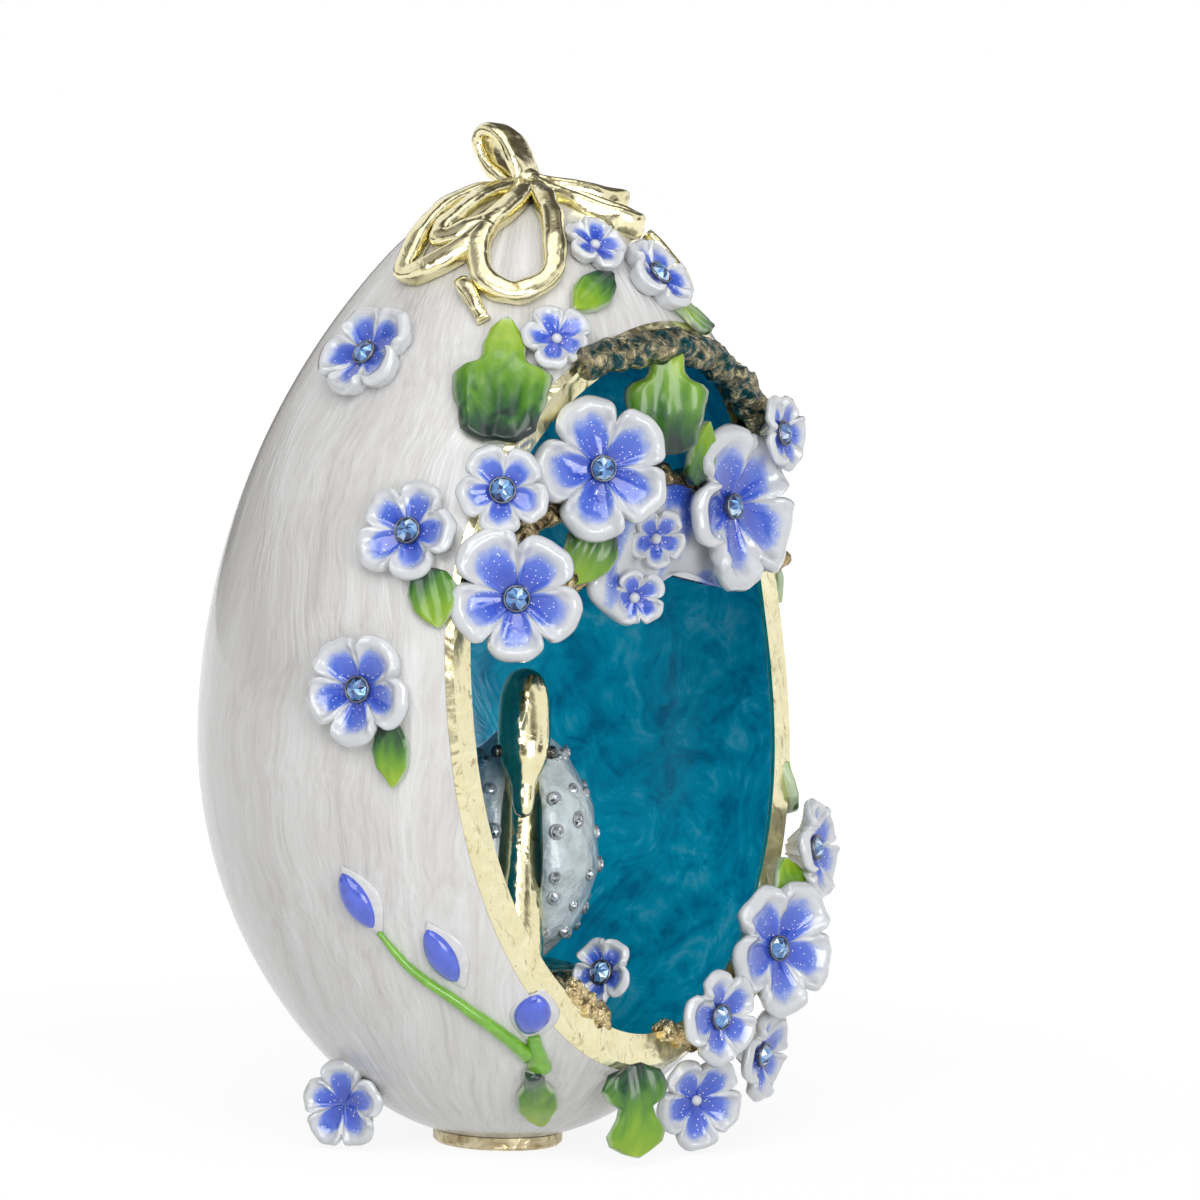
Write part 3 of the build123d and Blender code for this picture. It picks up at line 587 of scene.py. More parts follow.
shell_flower_back = 0.45
shell_flower_skirt = ((0.95, 0.26), (0.92, 0.4))
seed = 1
for name, (azimuth, share, size_share, spin, has_stone, lift, swirl) in shell_flowers.items():
    place = on_skin(azimuth, share, spin, lift * mm)
    flower(name, place, size_share, has_stone, seed, swirl, shell_flower_back, shell_flower_skirt)
    seed += 1
for name, (across, share, out, azimuth, pitch, size_share, spin, has_stone, swirl) in window_flowers.items():
    place = in_window(across, share, out * flower_radius + flower_lift, azimuth, pitch, spin)
    flower(name, place, size_share, has_stone, seed, swirl)
    seed += 1

faceted("set_stones", stone_parts, sapphire, "flower_stones")
piece("stone_cups", cup_parts, setting, None)
dot_parts = [(points, faces, [1.0] * len(points)) for points, faces in dot_parts]
piece("flower_dots", dot_parts, petal_material, None, "tint")

# Leaves: half outlines as along and across shares of the length
lobed_leaf = [(0.0, 0.12), (0.03, 0.21), (0.09, 0.28), (0.3, 0.33), (0.46, 0.365), (0.55, 0.37),
              (0.605, 0.32), (0.64, 0.2), (0.7, 0.165), (0.82, 0.155), (0.91, 0.125), (0.97, 0.075),
              (1.0, 0.02)]
plain_leaf = [(0.0, 0.05), (0.1, 0.2), (0.4, 0.31), (0.7, 0.25), (0.9, 0.11), (1.0, 0.02)]
broad_leaf = [(0.0, 0.14), (0.1, 0.32), (0.35, 0.44), (0.6, 0.41), (0.85, 0.22), (1.0, 0.03)]
foot_leaf = [(0.0, 0.1), (0.1, 0.32), (0.26, 0.42), (0.38, 0.36), (0.46, 0.2), (0.56, 0.24), (0.74, 0.36),
             (0.86, 0.32), (0.96, 0.15), (1.0, 0.03)]
leaf_length = 13 * mm
leaf_thickness = 1.0 * mm


def leaf_part(place, outline, size_share, seed, arch=0.06):
    """Scooped leaf with a raised rim and midrib, one end at its stalk."""
    length = leaf_length * size_share
    alongs, widths = zip(*outline)
    across_steps = 32
    rings, tints, along_values = [], [], []
    for t in np.linspace(0, 1, 44):
        half = float(np.interp(t, alongs, widths)) * length
        ring = []
        for j in range(2 * across_steps):
            top = j <= across_steps
            v = 2 * j / across_steps - 1 if top else 1 - 2 * (j - across_steps) / across_steps
            edge = max(abs(v) * smooth(0.0, 0.3, t), smooth(0.88, 1.0, t) * 0.999)
            rib = 0.035 * length * np.exp(-((v * half / (0.07 * length)) ** 2)) * (1 - 0.7 * t)
            vein = (abs(v) * half - 0.24 * length) / (0.09 * length)
            rib += 0.03 * length * np.exp(-(vein**2)) * (1 - t)
            dish = 0.03 * length * (abs(v) ** 2.5) - 0.09 * length * abs(v) ** 6
            z = arch * length * sin(pi * t) + (dish + rib + leaf_thickness if top else -0.1 * leaf_thickness)
            if not top:
                z += 0.35 * leaf_thickness * abs(v) ** 3
            point = Vector((half * v, (t - 0.5) * length, z))
            point.z += 0.025 * length * lumps(point, 3 * mm, seed)
            point.x += 0.02 * length * lumps(point, 1.5 * mm, seed + 9)
            ring.append(place @ point)
            tints.append(edge if top else 1.0)
            along_values.append(t)
        rings.append(ring)
    points, faces = loft(rings)
    return points, faces, tints + [1.0, 1.0], along_values + [0.0, 1.0]


def leaf_piece(name, parts, node):
    """One object from leaf parts."""
    obj = piece(name, parts, leaf_material, node, "tint")
    write_values(obj.data, "along", [value for part in parts for value in part[3]])


# Leaves on the shell: azimuth, height share, size share, spin, outline
shell_leaves = {
    "leaf_opening_left": [(-57.5, 0.812, 1.0, 0, lobed_leaf)],
    "leaf_arch_left": [(-29.5, 0.9, 0.5, 130, plain_leaf)],
    "leaves_left_side": [(-73.4, 0.437, 0.48, 186, plain_leaf), (-67.4, 0.594, 0.44, 196, broad_leaf)],
    "leaves_right_side": [(73.4, 0.437, 0.48, 174, plain_leaf), (67.4, 0.594, 0.44, 164, broad_leaf)],
    "leaf_arch_side": [(13.7, 0.876, 0.4, 60, plain_leaf)],
    "leaf_sill_side": [(60.5, 0.368, 0.42, 10, plain_leaf)],
}

# Leaves in the window: across, height and stand-out shares, azimuth, pitch, size share, spin, outline
window_leaves = {
    "leaf_garland_front": (-0.3, 0.637, 0.36, -36, 0, 0.5, 156, broad_leaf),
    "leaf_garland_right": (0.2, 0.738, 0.42, -10, 0, 0.5, -16, plain_leaf),
    "leaf_opening_right": (-0.045, 0.8, 0.42, -40, 0, 0.88, 0, lobed_leaf),
    "leaf_sill_right": (0.715, 0.268, 0.24, -8, 7, 0.48, 14, broad_leaf),
    "leaf_foot_front": (-0.08, 0.056, -0.12, -24, 0, 0.72, 184, foot_leaf),
}
for node, rows in shell_leaves.items():
    parts = [leaf_part(on_skin(azimuth, share, spin), outline, size_share, seed + i, 0.0)
             for i, (azimuth, share, size_share, spin, outline) in enumerate(rows)]
    leaf_piece(node.replace("leaf", "blade").replace("leaves", "blades"), parts, node)
    seed += 2
for node, (across, share, out, azimuth, pitch, size_share, spin, outline) in window_leaves.items():
    place = in_window(across, share, out * flower_radius, azimuth, pitch, spin)
    leaf_piece(node.replace("leaf", "blade"), [leaf_part(place, outline, size_share, seed)], node)
    seed += 1


# Foot flowers at the back, each on a leg that rises to the shell
foot_spread = 0.55 * belly_radius
foot_azimuth, foot_facing, foot_pitch, foot_spin = 114, 75, -6, 18
foot_height = 4.75 * mm
foot_size_share = 0.67
leg_radius = 1.6 * mm
leg_length = 6.4
leg_start = 0.1
base_centre = egg_low.z + 0.737 * belly_radius


def leg_part(start, rise):
    """Lumpy leg that swells towards the shell."""
    level = rise.cross(Vector((0, 0, 1))).normalized()
    other = level.cross(rise)

    def spot(t, c, s):
        radius = (2.0 + 0.5 * cos(2 * pi * t) + 1.6 * t**3) * mm
        middle = start + rise * (leg_length * t - leg_start) * mm
        point = middle + (level * c + other * s) * radius
        return point * (1 + 0.006 * lumps(point, 2 * mm, 3))

    return surface(spot, np.linspace(0, 1, 14), 28)


for side, name in ((-1, "foot_left"), (1, "foot_right")):
    a = radians(side * foot_azimuth)
    origin = Vector((foot_spread * sin(a), -foot_spread * cos(a), foot_height))
    place = facing(origin, side * foot_facing, foot_pitch, side * foot_spin)
    leg_foot = origin - place.to_3x3().col[2] * leg_radius
    leg = leg_part(leg_foot, (Vector((0, 0, base_centre)) - leg_foot).normalized())
    seat = place @ Matrix.Translation((0, 0, flower_lift))
    bloom = flower_mesh(seat, flower_radius * foot_size_share, seed, 1, 0.4)
    petals(name, [bloom, (*leg, [1.6] * len(leg[0]))])


def tube(path, radii, sides, lump, seed, flat=1.0):
    """Rings along a path of points with a radius at each, lumpy by a share of the radius."""
    rings = []
    for i, point in enumerate(path):
        ahead = path[min(i + 1, len(path) - 1)] - path[max(i - 1, 0)]
        side = ahead.cross(Vector((0, 0, 1)))
        if side.length < 1e-9:
            side = Vector((1, 0, 0))
        side.normalize()
        up = side.cross(ahead).normalized()
        ring = []
        for c, s in circle(sides):
            out = side * c + up * s * flat
            spot = point + out * radii[i]
            ring.append(spot + out * radii[i] * lump * lumps(spot, 1.3 * mm, seed))
        rings.append(ring)
    return rings


def through(points, steps):
    """Smooth path through points: a Catmull-Rom curve with steps between each pair."""
    points = [Vector(p) for p in points]
    padded = [2 * points[0] - points[1]] + points + [2 * points[-1] - points[-2]]
    path = []
    for a, b, c, d in zip(padded, padded[1:], padded[2:], padded[3:]):
        for k in range(steps):
            t = k / steps
            path.append(0.5 * (2 * b + (c - a) * t + (2 * a - 5 * b + 4 * c - d) * t**2
                               + (3 * b - a - 3 * c + d) * t**3))
    path.append(points[-1])
    return path


# Branches of the garland, from their CAD shares of the belly radius and the egg's height
branch_radius = 1.25 * mm


def strand(shares, seed, radius=branch_radius):
    """Rough cast branch along points of the window."""
    path = through([(across * belly_radius, -cut_depth(at_height(share)) - branch_radius, at_height(share))
                    for across, share in shares], 24)
    return loft(tube(path, [radius] * len(path), 18, 0.5, seed))


strands = [strand([(-0.76, 0.622), (-0.5, 0.675), (-0.1, 0.715), (0.4, 0.692), (0.78, 0.645)], 3),
           strand([(-0.7, 0.578), (-0.4, 0.607), (0.02, 0.625), (0.45, 0.625), (0.8, 0.617)], 4)]
piece("rough_garland_branch", strands, gold_rough, "garland_branch")
arch_strand = strand([(-0.44, 0.836), (0.02, 0.85), (0.4, 0.81), (0.7, 0.735)], 5, 1.6 * mm)
piece("rough_arch_branch", [arch_strand], gold_painted_teal_shade, "arch_branch")


# Web of white enamel that joins the flowers in the middle of the garland
web_outline = [(-0.095, 0.684), (0.22, 0.704), (0.56, 0.622), (0.47, 0.59), (0.185, 0.613), (0.0, 0.586),
               (-0.074, 0.559), (-0.236, 0.582), (-0.285, 0.606), (-0.218, 0.63)]
web_low, web_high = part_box("garland_web")
outline = [Vector((across * belly_radius, 0, at_height(share))) for across, share in web_outline]
outline = through(outline[-2:] + outline + outline[:2], 8)[16:-17]
web_middle = sum(outline, Vector()) / len(outline)


def web_spot(p, inset, front):
    """Point of the web at a share of the way from its middle to its outline and a share of its thickness."""
    spot = web_middle + (p - web_middle) * inset
    spot.y = web_high.y + (web_low.y - web_high.y) * front - 0.45 * mm * lumps(spot, 3.0 * mm, 8) * front
    return spot


web_rows = ((0.94, 0.0), (1.0, 0.3), (1.0, 0.65), (0.95, 0.92), (0.85, 1.0), (0.7, 0.86), (0.5, 0.75),
            (0.3, 0.72), (0.1, 0.72))
points, faces = loft([[web_spot(p, *row) for p in outline] for row in web_rows])
web_tints = [0.94 + 0.6 * lumps(p, 3.0 * mm, 5) for p in points]
piece("enamel_web", [(points, faces, web_tints)], petal_material, "garland_web", "tint")

# Swan: rows of forward, up and radius shares of its height
swan_height = 30 * mm
swan_azimuth = radians(-50)
swan_x, swan_y = -1.8 * mm, -2.6 * mm
ground_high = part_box("swan_ground")[1]
swan_place = Matrix(((sin(swan_azimuth), cos(swan_azimuth), 0, swan_x),
                     (-cos(swan_azimuth), sin(swan_azimuth), 0, swan_y),
                     (0, 0, 1, ground_high.z), (0, 0, 0, 1)))


def swan_tower(rows, sides=28, steps=8):
    """Smooth skin through rings in the swan's middle plane."""
    spine = through([Vector((forward, radius, up)) for forward, up, radius in rows], steps)
    rings = []
    for i, point in enumerate(spine):
        ahead = spine[min(i + 1, len(spine) - 1)] - spine[max(i - 1, 0)]
        ahead = Vector((ahead.x, 0, ahead.z)).normalized()
        front = Vector((ahead.z, 0, -ahead.x))
        rings.append([swan_place @ ((Vector((point.x, 0, point.z)) + front * point.y * c
                                     + Vector((0, 1, 0)) * point.y * s) * swan_height)
                      for c, s in circle(sides)])
    return loft(rings)


swan_rows = {
    "body": [(0.0, 0.0, 0.04), (0.015, 0.12, 0.1), (0.015, 0.27, 0.13), (0.015, 0.4, 0.1),
             (0.015, 0.48, 0.03)],
    "neck": [(0.34, -0.01, 0.085), (0.255, 0.22, 0.08), (0.205, 0.42, 0.07), (0.205, 0.62, 0.065),
             (0.25, 0.85, 0.055)],
    "head": [(0.215, 0.99, 0.015), (0.225, 0.97, 0.056), (0.24, 0.92, 0.078), (0.265, 0.85, 0.085),
             (0.292, 0.77, 0.086), (0.312, 0.705, 0.078), (0.328, 0.655, 0.054), (0.338, 0.62, 0.04),
             (0.35, 0.575, 0.037), (0.36, 0.535, 0.026), (0.364, 0.52, 0.008)],
}
for name, rows in swan_rows.items():
    piece("smooth_swan_" + name, [swan_tower(rows)], gold, "swan_" + name)
eye_radius, eye_depth = 0.72 * mm, 0.62 * mm


def eye_part(side):
    """Round eye on one side of the head."""
    middle = swan_place @ (Vector((0.306, side * 0.09, 0.73)) * swan_height)
    turned = swan_place.to_3x3()

    def spot(e, c, s):
        level = eye_radius * cos(e)
        return middle + turned @ Vector((level * c, side * eye_depth * sin(e), level * s))

    return surface(spot, (-1.2, -0.6, 0, 0.5, 1.0, 1.4), 16)


piece("round_swan_eyes", [eye_part(-1), eye_part(1)], eye_material, "swan_eyes")

# Wings: up and radius shares and sweep angles of their crescents
wing_rows = [(0.0, 0.07, 64), (0.15, 0.215, 96), (0.34, 0.275, 116), (0.55, 0.245, 106), (0.72, 0.145, 84),
             (0.82, 0.03, 60)]
wing_centre = 0.075 * swan_height
wing_front = 18
wing_thickness = 1.3 * mm


def wing_point(side, up_index, along, depth):
    """Point of a wing at a fractional row, a share along its sweep and a depth under its face."""
    ups, radii, sweeps = zip(*wing_rows)
    row = np.arange(len(ups))
    up, radius, sweep = (float(np.interp(up_index, row, values)) for values in (ups, radii, sweeps))
    turn = radians(wing_front + sweep * along)
    out = radius * swan_height - depth
    return Vector((wing_centre + out * cos(turn), side * out * sin(turn), up * swan_height))


def wing_part(side):
    """Pearly wing, thick in the middle and rounded along its edges."""
    rings = []
    last = len(wing_rows) - 1
    for up_index in np.linspace(0, last, 40):
        outer = [wing_point(side, up_index, along, 0.5 * mm * (2 * along - 1) ** 8)
                 for along in np.linspace(0, 1, 24)]
        depth = wing_thickness * min(1, 0.2 + up_index, 0.2 + last - up_index)
        inner = [wing_point(side, up_index, along, depth) for along in np.linspace(1, 0, 24)]
        ring = [swan_place @ p for p in outer + inner]
        rings.append([p + (p - swan_place.translation).normalized() * 0.18 * mm * lumps(p, 2.0 * mm, side)
                      for p in ring])
    return loft(rings)


for side, name in ((-1, "left"), (1, "right")):
    piece("pearl_wing_" + name, [wing_part(side)], wing_material, "swan_wing_" + name)
wing_rim_profile = ((1.25, -0.2), (1.3, 0.14), (1.15, 0.24), (1.0, 0.14))
wing_stone_height = 0.5 * mm
gems, rims = [], []
rng = np.random.default_rng(7)
for side in (-1, 1):
    for row in np.arange(0.8, 4.2, 0.62):
        for along in np.arange(0.08, 1.0, 0.24):
            spot = wing_point(side, row + rng.uniform(-0.15, 0.15), along + rng.uniform(-0.05, 0.05), 0)
            middle = Vector((wing_centre, 0, spot.z))
            out = (spot - middle).normalized()
            level = out.cross(Vector((0, 0, 1))).normalized()
            turned = framed(spot - out * 0.1 * mm, level, out)
            size = rng.uniform(0.5, 0.66) * mm
            gems.append(brilliant(swan_place @ turned, size, wing_stone_height, facet_tones, 6))
            rims.append(lathe(swan_place @ turned, [(r * size, z * mm) for r, z in wing_rim_profile], 16))
faceted("wing_crystals", gems, crystal, "swan_wing_stones")
piece("wing_stone_rims", rims, rim_material, None)


# Ground under the swan and the ledge behind the sill, rough cast
def ground_spot(row, c, s):
    """Point of the ground on a row of height, radius and share of the way from the egg's axis to the swan."""
    height, radius, shift = row
    spot = Vector((radius * c + swan_x * shift, radius * s + swan_y * shift, height))
    rough = lumps(spot, 3.2 * mm, 1) + 0.6 * lumps(spot, 1.4 * mm, 2)
    return spot + Vector((c, s, 0.35)) * 0.8 * mm * rough * smooth(0, 0.4, shift)


# The bowl is the part of the ground that lies in the rounded bottom of the shell
bowl_radius, bowl_centre = 20.65 * mm, 23.8 * mm
top = ground_high.z
bowl = [(share * top, sqrt(bowl_radius**2 - (bowl_centre - share * top) ** 2), 0)
        for share in (0.18, 0.24, 0.32, 0.4)]
slope = [(0.4 * top + t * 0.3 * top, (12.8 - 3.2 * t) * mm, t) for t in np.linspace(0.15, 1, 6)]
crest = [(0.7 * top + t * 0.28 * top, (9.6 - 3.2 * t**1.4) * mm, 1) for t in np.linspace(0.15, 1, 7)]
dome = [(0.98 * top, 4.5 * mm, 1), (0.985 * top, 2.5 * mm, 1)]
ground = surface(ground_spot, bowl + slope + crest + dome, 72)
piece("rough_ground", [ground], gold_rough, "swan_ground")

ledge_low, ledge_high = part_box("sill_ledge")


def ledge_spot(x, c, s):
    """Point of the rough ledge around a place along its CAD box."""
    reach = sqrt(max(0.02, 1 - (x / ledge_high.x) ** 2))
    y = (ledge_low.y + ledge_high.y) / 2 + (ledge_high.y - ledge_low.y) / 2 * 0.95 * c
    spot = Vector((x, y, ledge_high.z - 1.6 * mm * reach + 1.5 * mm * reach * s))
    return spot + Vector((0, c, s)) * 0.35 * mm * (lumps(spot, 2.0 * mm, 5) - 0.5)


gold_ledge = gilding("gold_ledge", painted_dark_share=0.22, lump=2.2, depth=0.5)
ledge = surface(ledge_spot, np.linspace(ledge_low.x * 0.99, ledge_high.x * 0.99, 60), 24)
piece("rough_ledge", [ledge], gold_ledge, "sill_ledge")


def nugget(across, height_share, out, radius, seed):
    """Crumpled lump of gold on the sill."""
    middle = in_window(across, height_share, out, 0).translation

    def spot(e, c, s):
        out_dir = Vector((cos(e) * c, cos(e) * s, sin(e)))
        rough = lumps(out_dir, 0.55, seed) + 0.5 * lumps(out_dir, 0.25, seed + 1)
        return middle + out_dir * radius * (1 + 0.38 * rough)

    return surface(spot, np.linspace(-1.45, 1.45, 20), 32)


# Nuggets: across and height shares, stand-out and radius in millimetres
nugget_rows = [(-0.37, 0.184, -0.9, 1.5), (-0.31, 0.17, -0.8, 1.5), (-0.25, 0.158, -0.8, 1.4),
               (0.08, 0.133, -0.3, 1.2), (0.15, 0.127, -0.2, 1.3), (0.2, 0.12, 0.0, 1.1),
               (0.46, 0.156, -0.6, 1.5), (0.54, 0.172, -0.5, 1.7)]
nuggets = [nugget(across, share, out * mm, radius * mm, i)
           for i, (across, share, out, radius) in enumerate(nugget_rows)]
piece("gold_nuggets", nuggets, gold_nugget, None)

# Bow: azimuth, elevation, lean, length and width shares and ribbon width in millimetres of each free loop,
# and azimuth and height share of points of each loop that lies on the shell
bow_length = 14 * mm
knot = Vector((0, 0, egg_high.z + 0.95 * mm))
free_loops = [(173, 42, 90, 0.59, 0.38, 3.5), (18, -17, 0, 0.92, 0.42, 2.7), (58, -8, 0, 0.78, 0.4, 2.7)]
lying_loops = [
    [(-30, 0.9995), (-37, 0.985), (-40, 0.95), (-44, 0.915), (-55, 0.896), (-65, 0.906), (-71, 0.93),
     (-71, 0.96), (-62, 0.985), (-60, 0.9995)],
    [(-95, 0.9995), (-93, 0.99), (-92, 0.975), (-95, 0.958), (-90, 0.947), (-79, 0.957), (-70, 0.971),
     (-62, 0.985)],
    [(-125, 0.9995), (-118, 0.99), (-110, 0.968), (-103, 0.935), (-98, 0.911), (-88, 0.92), (-77, 0.94),
     (-71, 0.96)],
]
ribbon_thickness = 1.5 * mm
ribbon_power = 0.72


def ribbon(path, normals, width, thickness, closed, seed):
    """Cast ribbon along a path, its width along the normals, with rounded edges."""
    rings = []
    count = len(path)
    for i, (point, normal) in enumerate(zip(path, normals)):
        before = path[(i - 1) % count] if closed else path[max(i - 1, 0)]
        after = path[(i + 1) % count] if closed else path[min(i + 1, count - 1)]
        ahead = (after - before).normalized()
        side = normal.cross(ahead).normalized()
        ring = []
        for c, s in circle(24):
            u = copysign(abs(c) ** ribbon_power, c)
            v = copysign(abs(s) ** ribbon_power, s)
            spot = point + normal * u * width / 2 + side * v * thickness / 2
            spot += (normal * u * 0.5 + side * v * 0.8) * 0.42 * mm * lumps(spot, 2.4 * mm, seed)
            ring.append(spot)
        rings.append(ring)
    if closed:
        rings.append(rings[0])
        return loft(rings, False)
    return loft(rings)


def free_loop(azimuth, elevation, lean, length_share, width_share, ribbon_width, seed):
    """Teardrop loop of ribbon that starts and ends in the knot."""
    place = facing(knot, azimuth, elevation, lean)
    x_dir, normal = place.to_3x3().col[2], place.to_3x3().col[1]
    y_dir = normal.cross(x_dir)
    length, width = bow_length * length_share, bow_length * width_share - ribbon_thickness
    path = []
    for k in range(56):
        t = tau * k / 56
        wide = sin(t) * (0.45 + 0.55 * sin(t / 2) ** 1.2)
        path.append(knot + x_dir * (length - ribbon_thickness / 2) * (1 - cos(t)) / 2
                    + y_dir * width / 2 * wide)
    return ribbon(path, [normal] * len(path), ribbon_width * mm, ribbon_thickness, True, seed)


def lying_loop(shares, seed):
    """Loop of ribbon that lies on the crown."""
    places = [on_skin(azimuth, share, 0, 0.9 * mm) for azimuth, share in shares]
    path = through([place.translation for place in places], 8)
    normals = [n.normalized() for n in through([place.to_3x3().col[2] for place in places], 8)]
    return ribbon(path, normals, 2.0 * mm, 2.3 * mm, False, seed)


def knot_spot(e, c, s):
    """Point of the lumpy knot at an elevation."""
    spot = Vector((1.9 * mm * cos(e) * c, 1.7 * mm * cos(e) * s, 1.9 * mm * sin(e)))
    return knot + spot * (1 + 0.16 * lumps(spot, 1.5 * mm, 6))


loops = [free_loop(*row, i) for i, row in enumerate(free_loops)]
loops += [lying_loop(row, i + 4) for i, row in enumerate(lying_loops)]
loops.append(surface(knot_spot, np.linspace(-1.3, 1.3, 14), 28))
piece("cast_bow", loops, gold, "ribbon_bow")

# Ribbon ends: azimuth, height share, spin and length in millimetres
tails = []
for azimuth, share, spin, length in ((33, 0.932, -12, 6.8), (-69, 0.889, 36, 5.4)):
    place = on_skin(azimuth, share, spin, 0.75 * mm)
    path = [place @ Vector((0, length * mm * (t - 0.5), -0.3 * mm * (2 * t - 1) ** 2))
            for t in np.linspace(0, 1, 12)]
    tails.append(ribbon(path, [place.to_3x3().col[0]] * len(path), 1.5 * mm, 1.5 * mm, False, 11))
piece("cast_bow_tails", tails, gold, "bow_tails")

# Sprigs: azimuth and height share of the points of stem and shoot; azimuth, height share, spin, length and
# width in millimetres of each bud; azimuth, height share, spin and size share of the leaf
sprig_stem = [(-78.0, 0.252), (-72.2, 0.215), (-63.1, 0.183), (-51.7, 0.145), (-45.2, 0.1225)]
sprig_buds = [(-81.8, 0.283, 26, 6.1, 3.1), (-65.2, 0.231, 24, 6.2, 3.0), (-45.6, 0.17, -8, 5.0, 3.6)]
sprig_leaf = (-40.2, 0.075, 195, 0.72)
sprig_shoot = [(-44.6, 0.146), (-43.3, 0.128), (-41.5, 0.108)]
mirrored_turn = 30
narrow_leaf = [(0.0, 0.08), (0.1, 0.1), (0.26, 0.12), (0.42, 0.2), (0.58, 0.225), (0.74, 0.21),
               (0.92, 0.13), (1.0, 0.03)]


def drop_part(place, length, width, height, power=0.75, crown=1.0):
    """Raised drop, pointed at both ends, lying on a place, its sides softer with a higher crown."""
    rings = []
    for u in np.linspace(0.004, 0.996, 22):
        swell = sin(pi * u) ** power
        rings.append([place @ Vector((width / 2 * swell * cos(turn) * mm, (u - 0.5) * length * mm,
                                      height * swell * (sin(turn) ** crown if sin(turn) > 0 else -0.3) * mm))
                      for turn in np.linspace(0, tau, 24, endpoint=False)])
    return loft(rings)


def stem_part(shares, side, turn, radii, seed, flat=1.0):
    """Stem that lies on the shell, its radius in millimetres going from the first to the second."""
    path = through([on_skin(side * azimuth + turn, share, 0, 0.3 * mm).translation
                    for azimuth, share in shares], 8)
    return loft(tube(path, list(np.linspace(*radii, len(path)) * mm), 12, 0.15, seed, flat))


stems, buds, sheaths, blades = [], [], [], []
for side, turn in ((1, 0), (-1, mirrored_turn)):
    stems.append(stem_part(sprig_stem, side, turn, (0.3, 0.8), 2))
    stems.append(stem_part(sprig_shoot, side, turn, (0.55, 1.25), 3, 0.7))
    for azimuth, share, spin, length, width in sprig_buds:
        place = on_skin(side * azimuth + turn, share, side * spin, 0.15 * mm)
        buds.append(drop_part(place, length, width, 1.15, 0.6))
        under = place @ Matrix.Translation((side * 0.3 * mm, -0.2 * mm, -0.15 * mm))
        sheaths.append(drop_part(under, length + 1.8, width + 1.3, 0.5, 1.0, 2.0))
    azimuth, share, spin, size_share = sprig_leaf
    place = on_skin(side * azimuth + turn, share, side * spin)
    blades.append(leaf_part(place, narrow_leaf, size_share, 40 + side, 0))
piece("raised_stems", stems, stem_material, "sprig_stems")
piece("raised_buds", buds, bud_material, "sprig_buds")
piece("bud_sheaths", sheaths, sheath_material, None)
leaf_piece("raised_blades", blades, "sprig_leaves")

# Stage: white floor and world, and lamps
floor_half = 4
floor_corners = [(floor_half * x, floor_half * y, 0) for x, y in ((-1, -1), (1, -1), (1, 1), (-1, 1))]
floor_data = bpy.data.meshes.new("floor")
floor_data.from_pydata(floor_corners, [], [(0, 1, 2, 3)])
floor = linked("floor", floor_data)


def rays(net, *kinds):
    """1 for rays of any of the kinds, else 0."""
    total, *others = [add(net, "LightPath", {}, "Is " + kind + " Ray") for kind in kinds]
    for other in others:
        total = compute(net, "MAXIMUM", total, other)
    return total


def cleared(owner):
    """Empty node tree of a material or world."""
    owner.use_nodes = True
    owner.node_tree.nodes.clear()
    return owner.node_tree


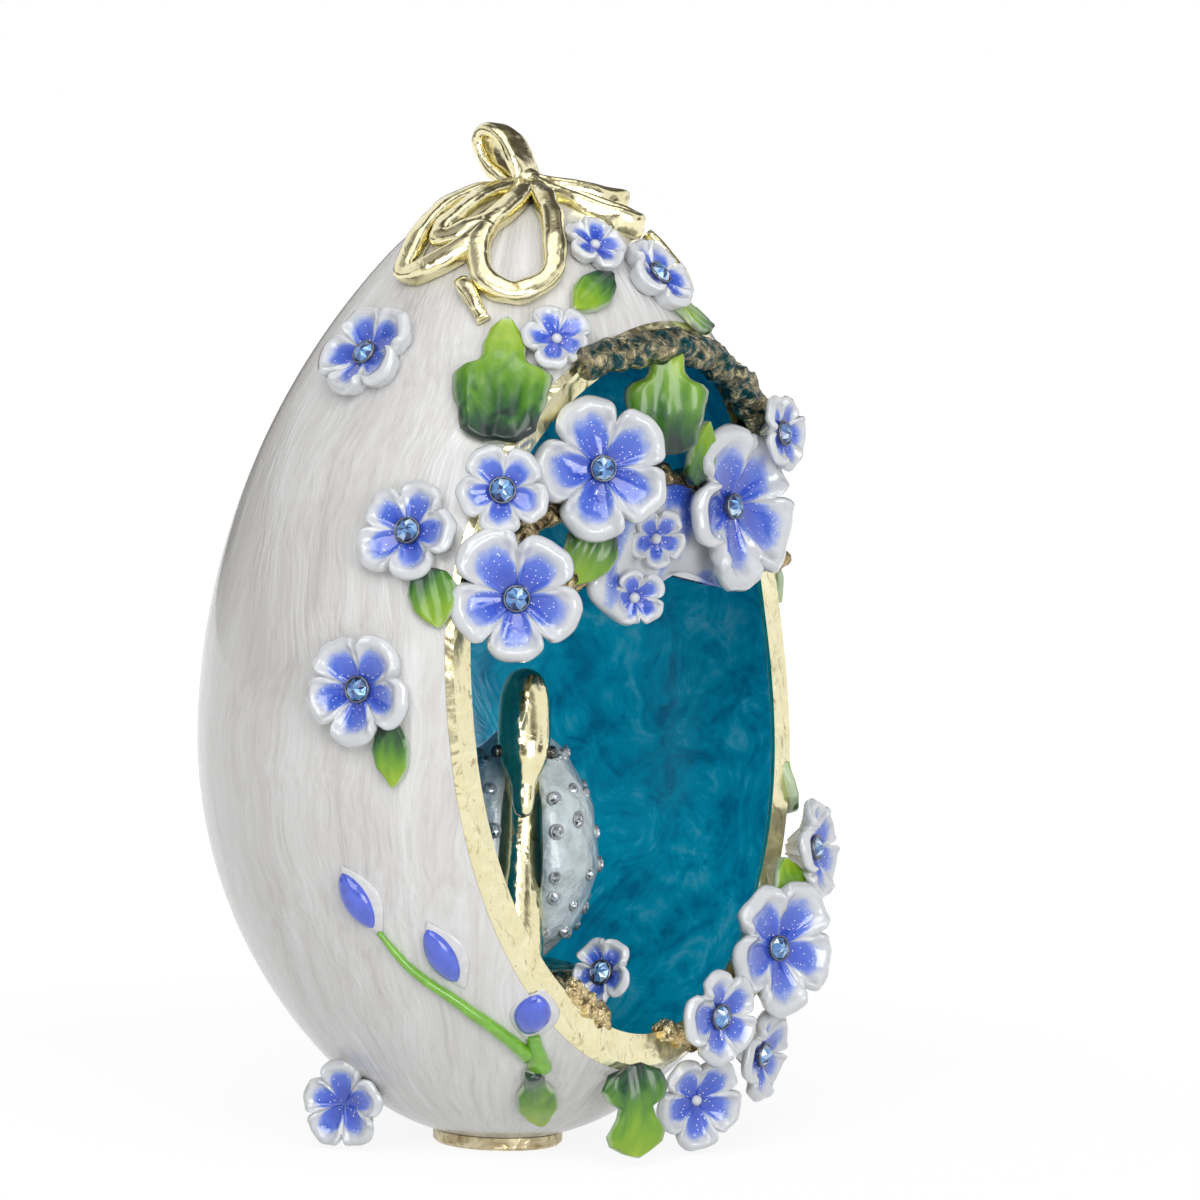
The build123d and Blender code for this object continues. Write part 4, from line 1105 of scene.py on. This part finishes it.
# Rays that show the floor to the eye see more of its own white the further it lies from the egg
floor_glow = 1.1
floor_material = bpy.data.materials.new("floor_white")
net = cleared(floor_material)
seen = rays(net, "Camera", "Transmission", "Glossy")
away = vector_math(net, "LENGTH", {0: add(net, "TexCoord", {}, "Object")}, "Value")
glow_share = compute(net, "MULTIPLY", seen, span(net, away, 0.08, 0.3, 0.8, 1.0))
lit = add(net, "BsdfDiffuse", {"Color": (0.8, 0.8, 0.8)})
glow = add(net, "Emission", {"Color": (1, 1, 1), "Strength": floor_glow})
blend = add(net, "MixShader", {"Fac": glow_share, 1: lit, 2: glow})
net.links.new(blend, net.nodes.new("ShaderNodeOutputMaterial").inputs["Surface"])
floor_data.materials.append(floor_material)

# The world is white to the eye, soft grey as light, and has pale and dark panels for reflections
world = bpy.data.worlds.new("studio")
bpy.context.scene.world = world
net = cleared(world)
panels = noise_field(net, add(net, "TexCoord", {}, "Generated"), 0.55, 1, 0.4)
studio = ramp(net, panels, [(0.38, (0.1, 0.09, 0.08)), (0.5, (0.55, 0.54, 0.53)), (0.56, (1.0, 1.0, 1.0))])
direct = rays(net, "Camera", "Transmission")
soft = mix(net, rays(net, "Glossy"), (0.38, 0.38, 0.38), studio)
back = add(net, "Background", {"Color": mix(net, direct, soft, (1.0, 1.0, 1.0)), "Strength": 1.0})
net.links.new(back, net.nodes.new("ShaderNodeOutputWorld").inputs["Surface"])


def lamp(name, azimuth, elevation, distance, size, power):
    """Soft square lamp aimed at the egg."""
    data = bpy.data.lights.new(name, "AREA")
    data.size = size
    data.energy = power
    obj = linked(name, data)
    centre = Vector((0, 0, egg_height / 2))
    obj.matrix_world = facing(centre, azimuth, elevation) @ Matrix.Translation((0, 0, distance))


lamp("key_lamp", -66, 32, 0.75, 0.45, 2.05)
lamp("window_lamp", -22, 3, 0.8, 0.4, 3.1)
lamp("top_lamp", -40, 82, 0.75, 0.5, 0.8)
lamp("spark_lamp", -38, 40, 0.75, 0.06, 0.3)

# Camera at the photograph's angle, in millimetres
camera_place = Vector((-477.6, -363.18, 100.0)) * mm
camera_forward = Vector((0.80227, 0.5922, -0.07524))
camera_roll = 1.823
camera_focus_share = 6033 / 1200
sensor = 36.0
data = bpy.data.cameras.new("camera")
data.sensor_width = sensor
data.lens = sensor * camera_focus_share
data.clip_start = 0.05
camera = linked("camera", data)
level = camera_forward.cross(Vector((0, 0, 1))).normalized()
level.rotate(Quaternion(camera_forward, -radians(camera_roll)))
camera.matrix_world = framed(camera_place, level, -camera_forward.normalized())
bpy.context.scene.camera = camera
bpy.context.scene.view_settings.view_transform = "Standard"
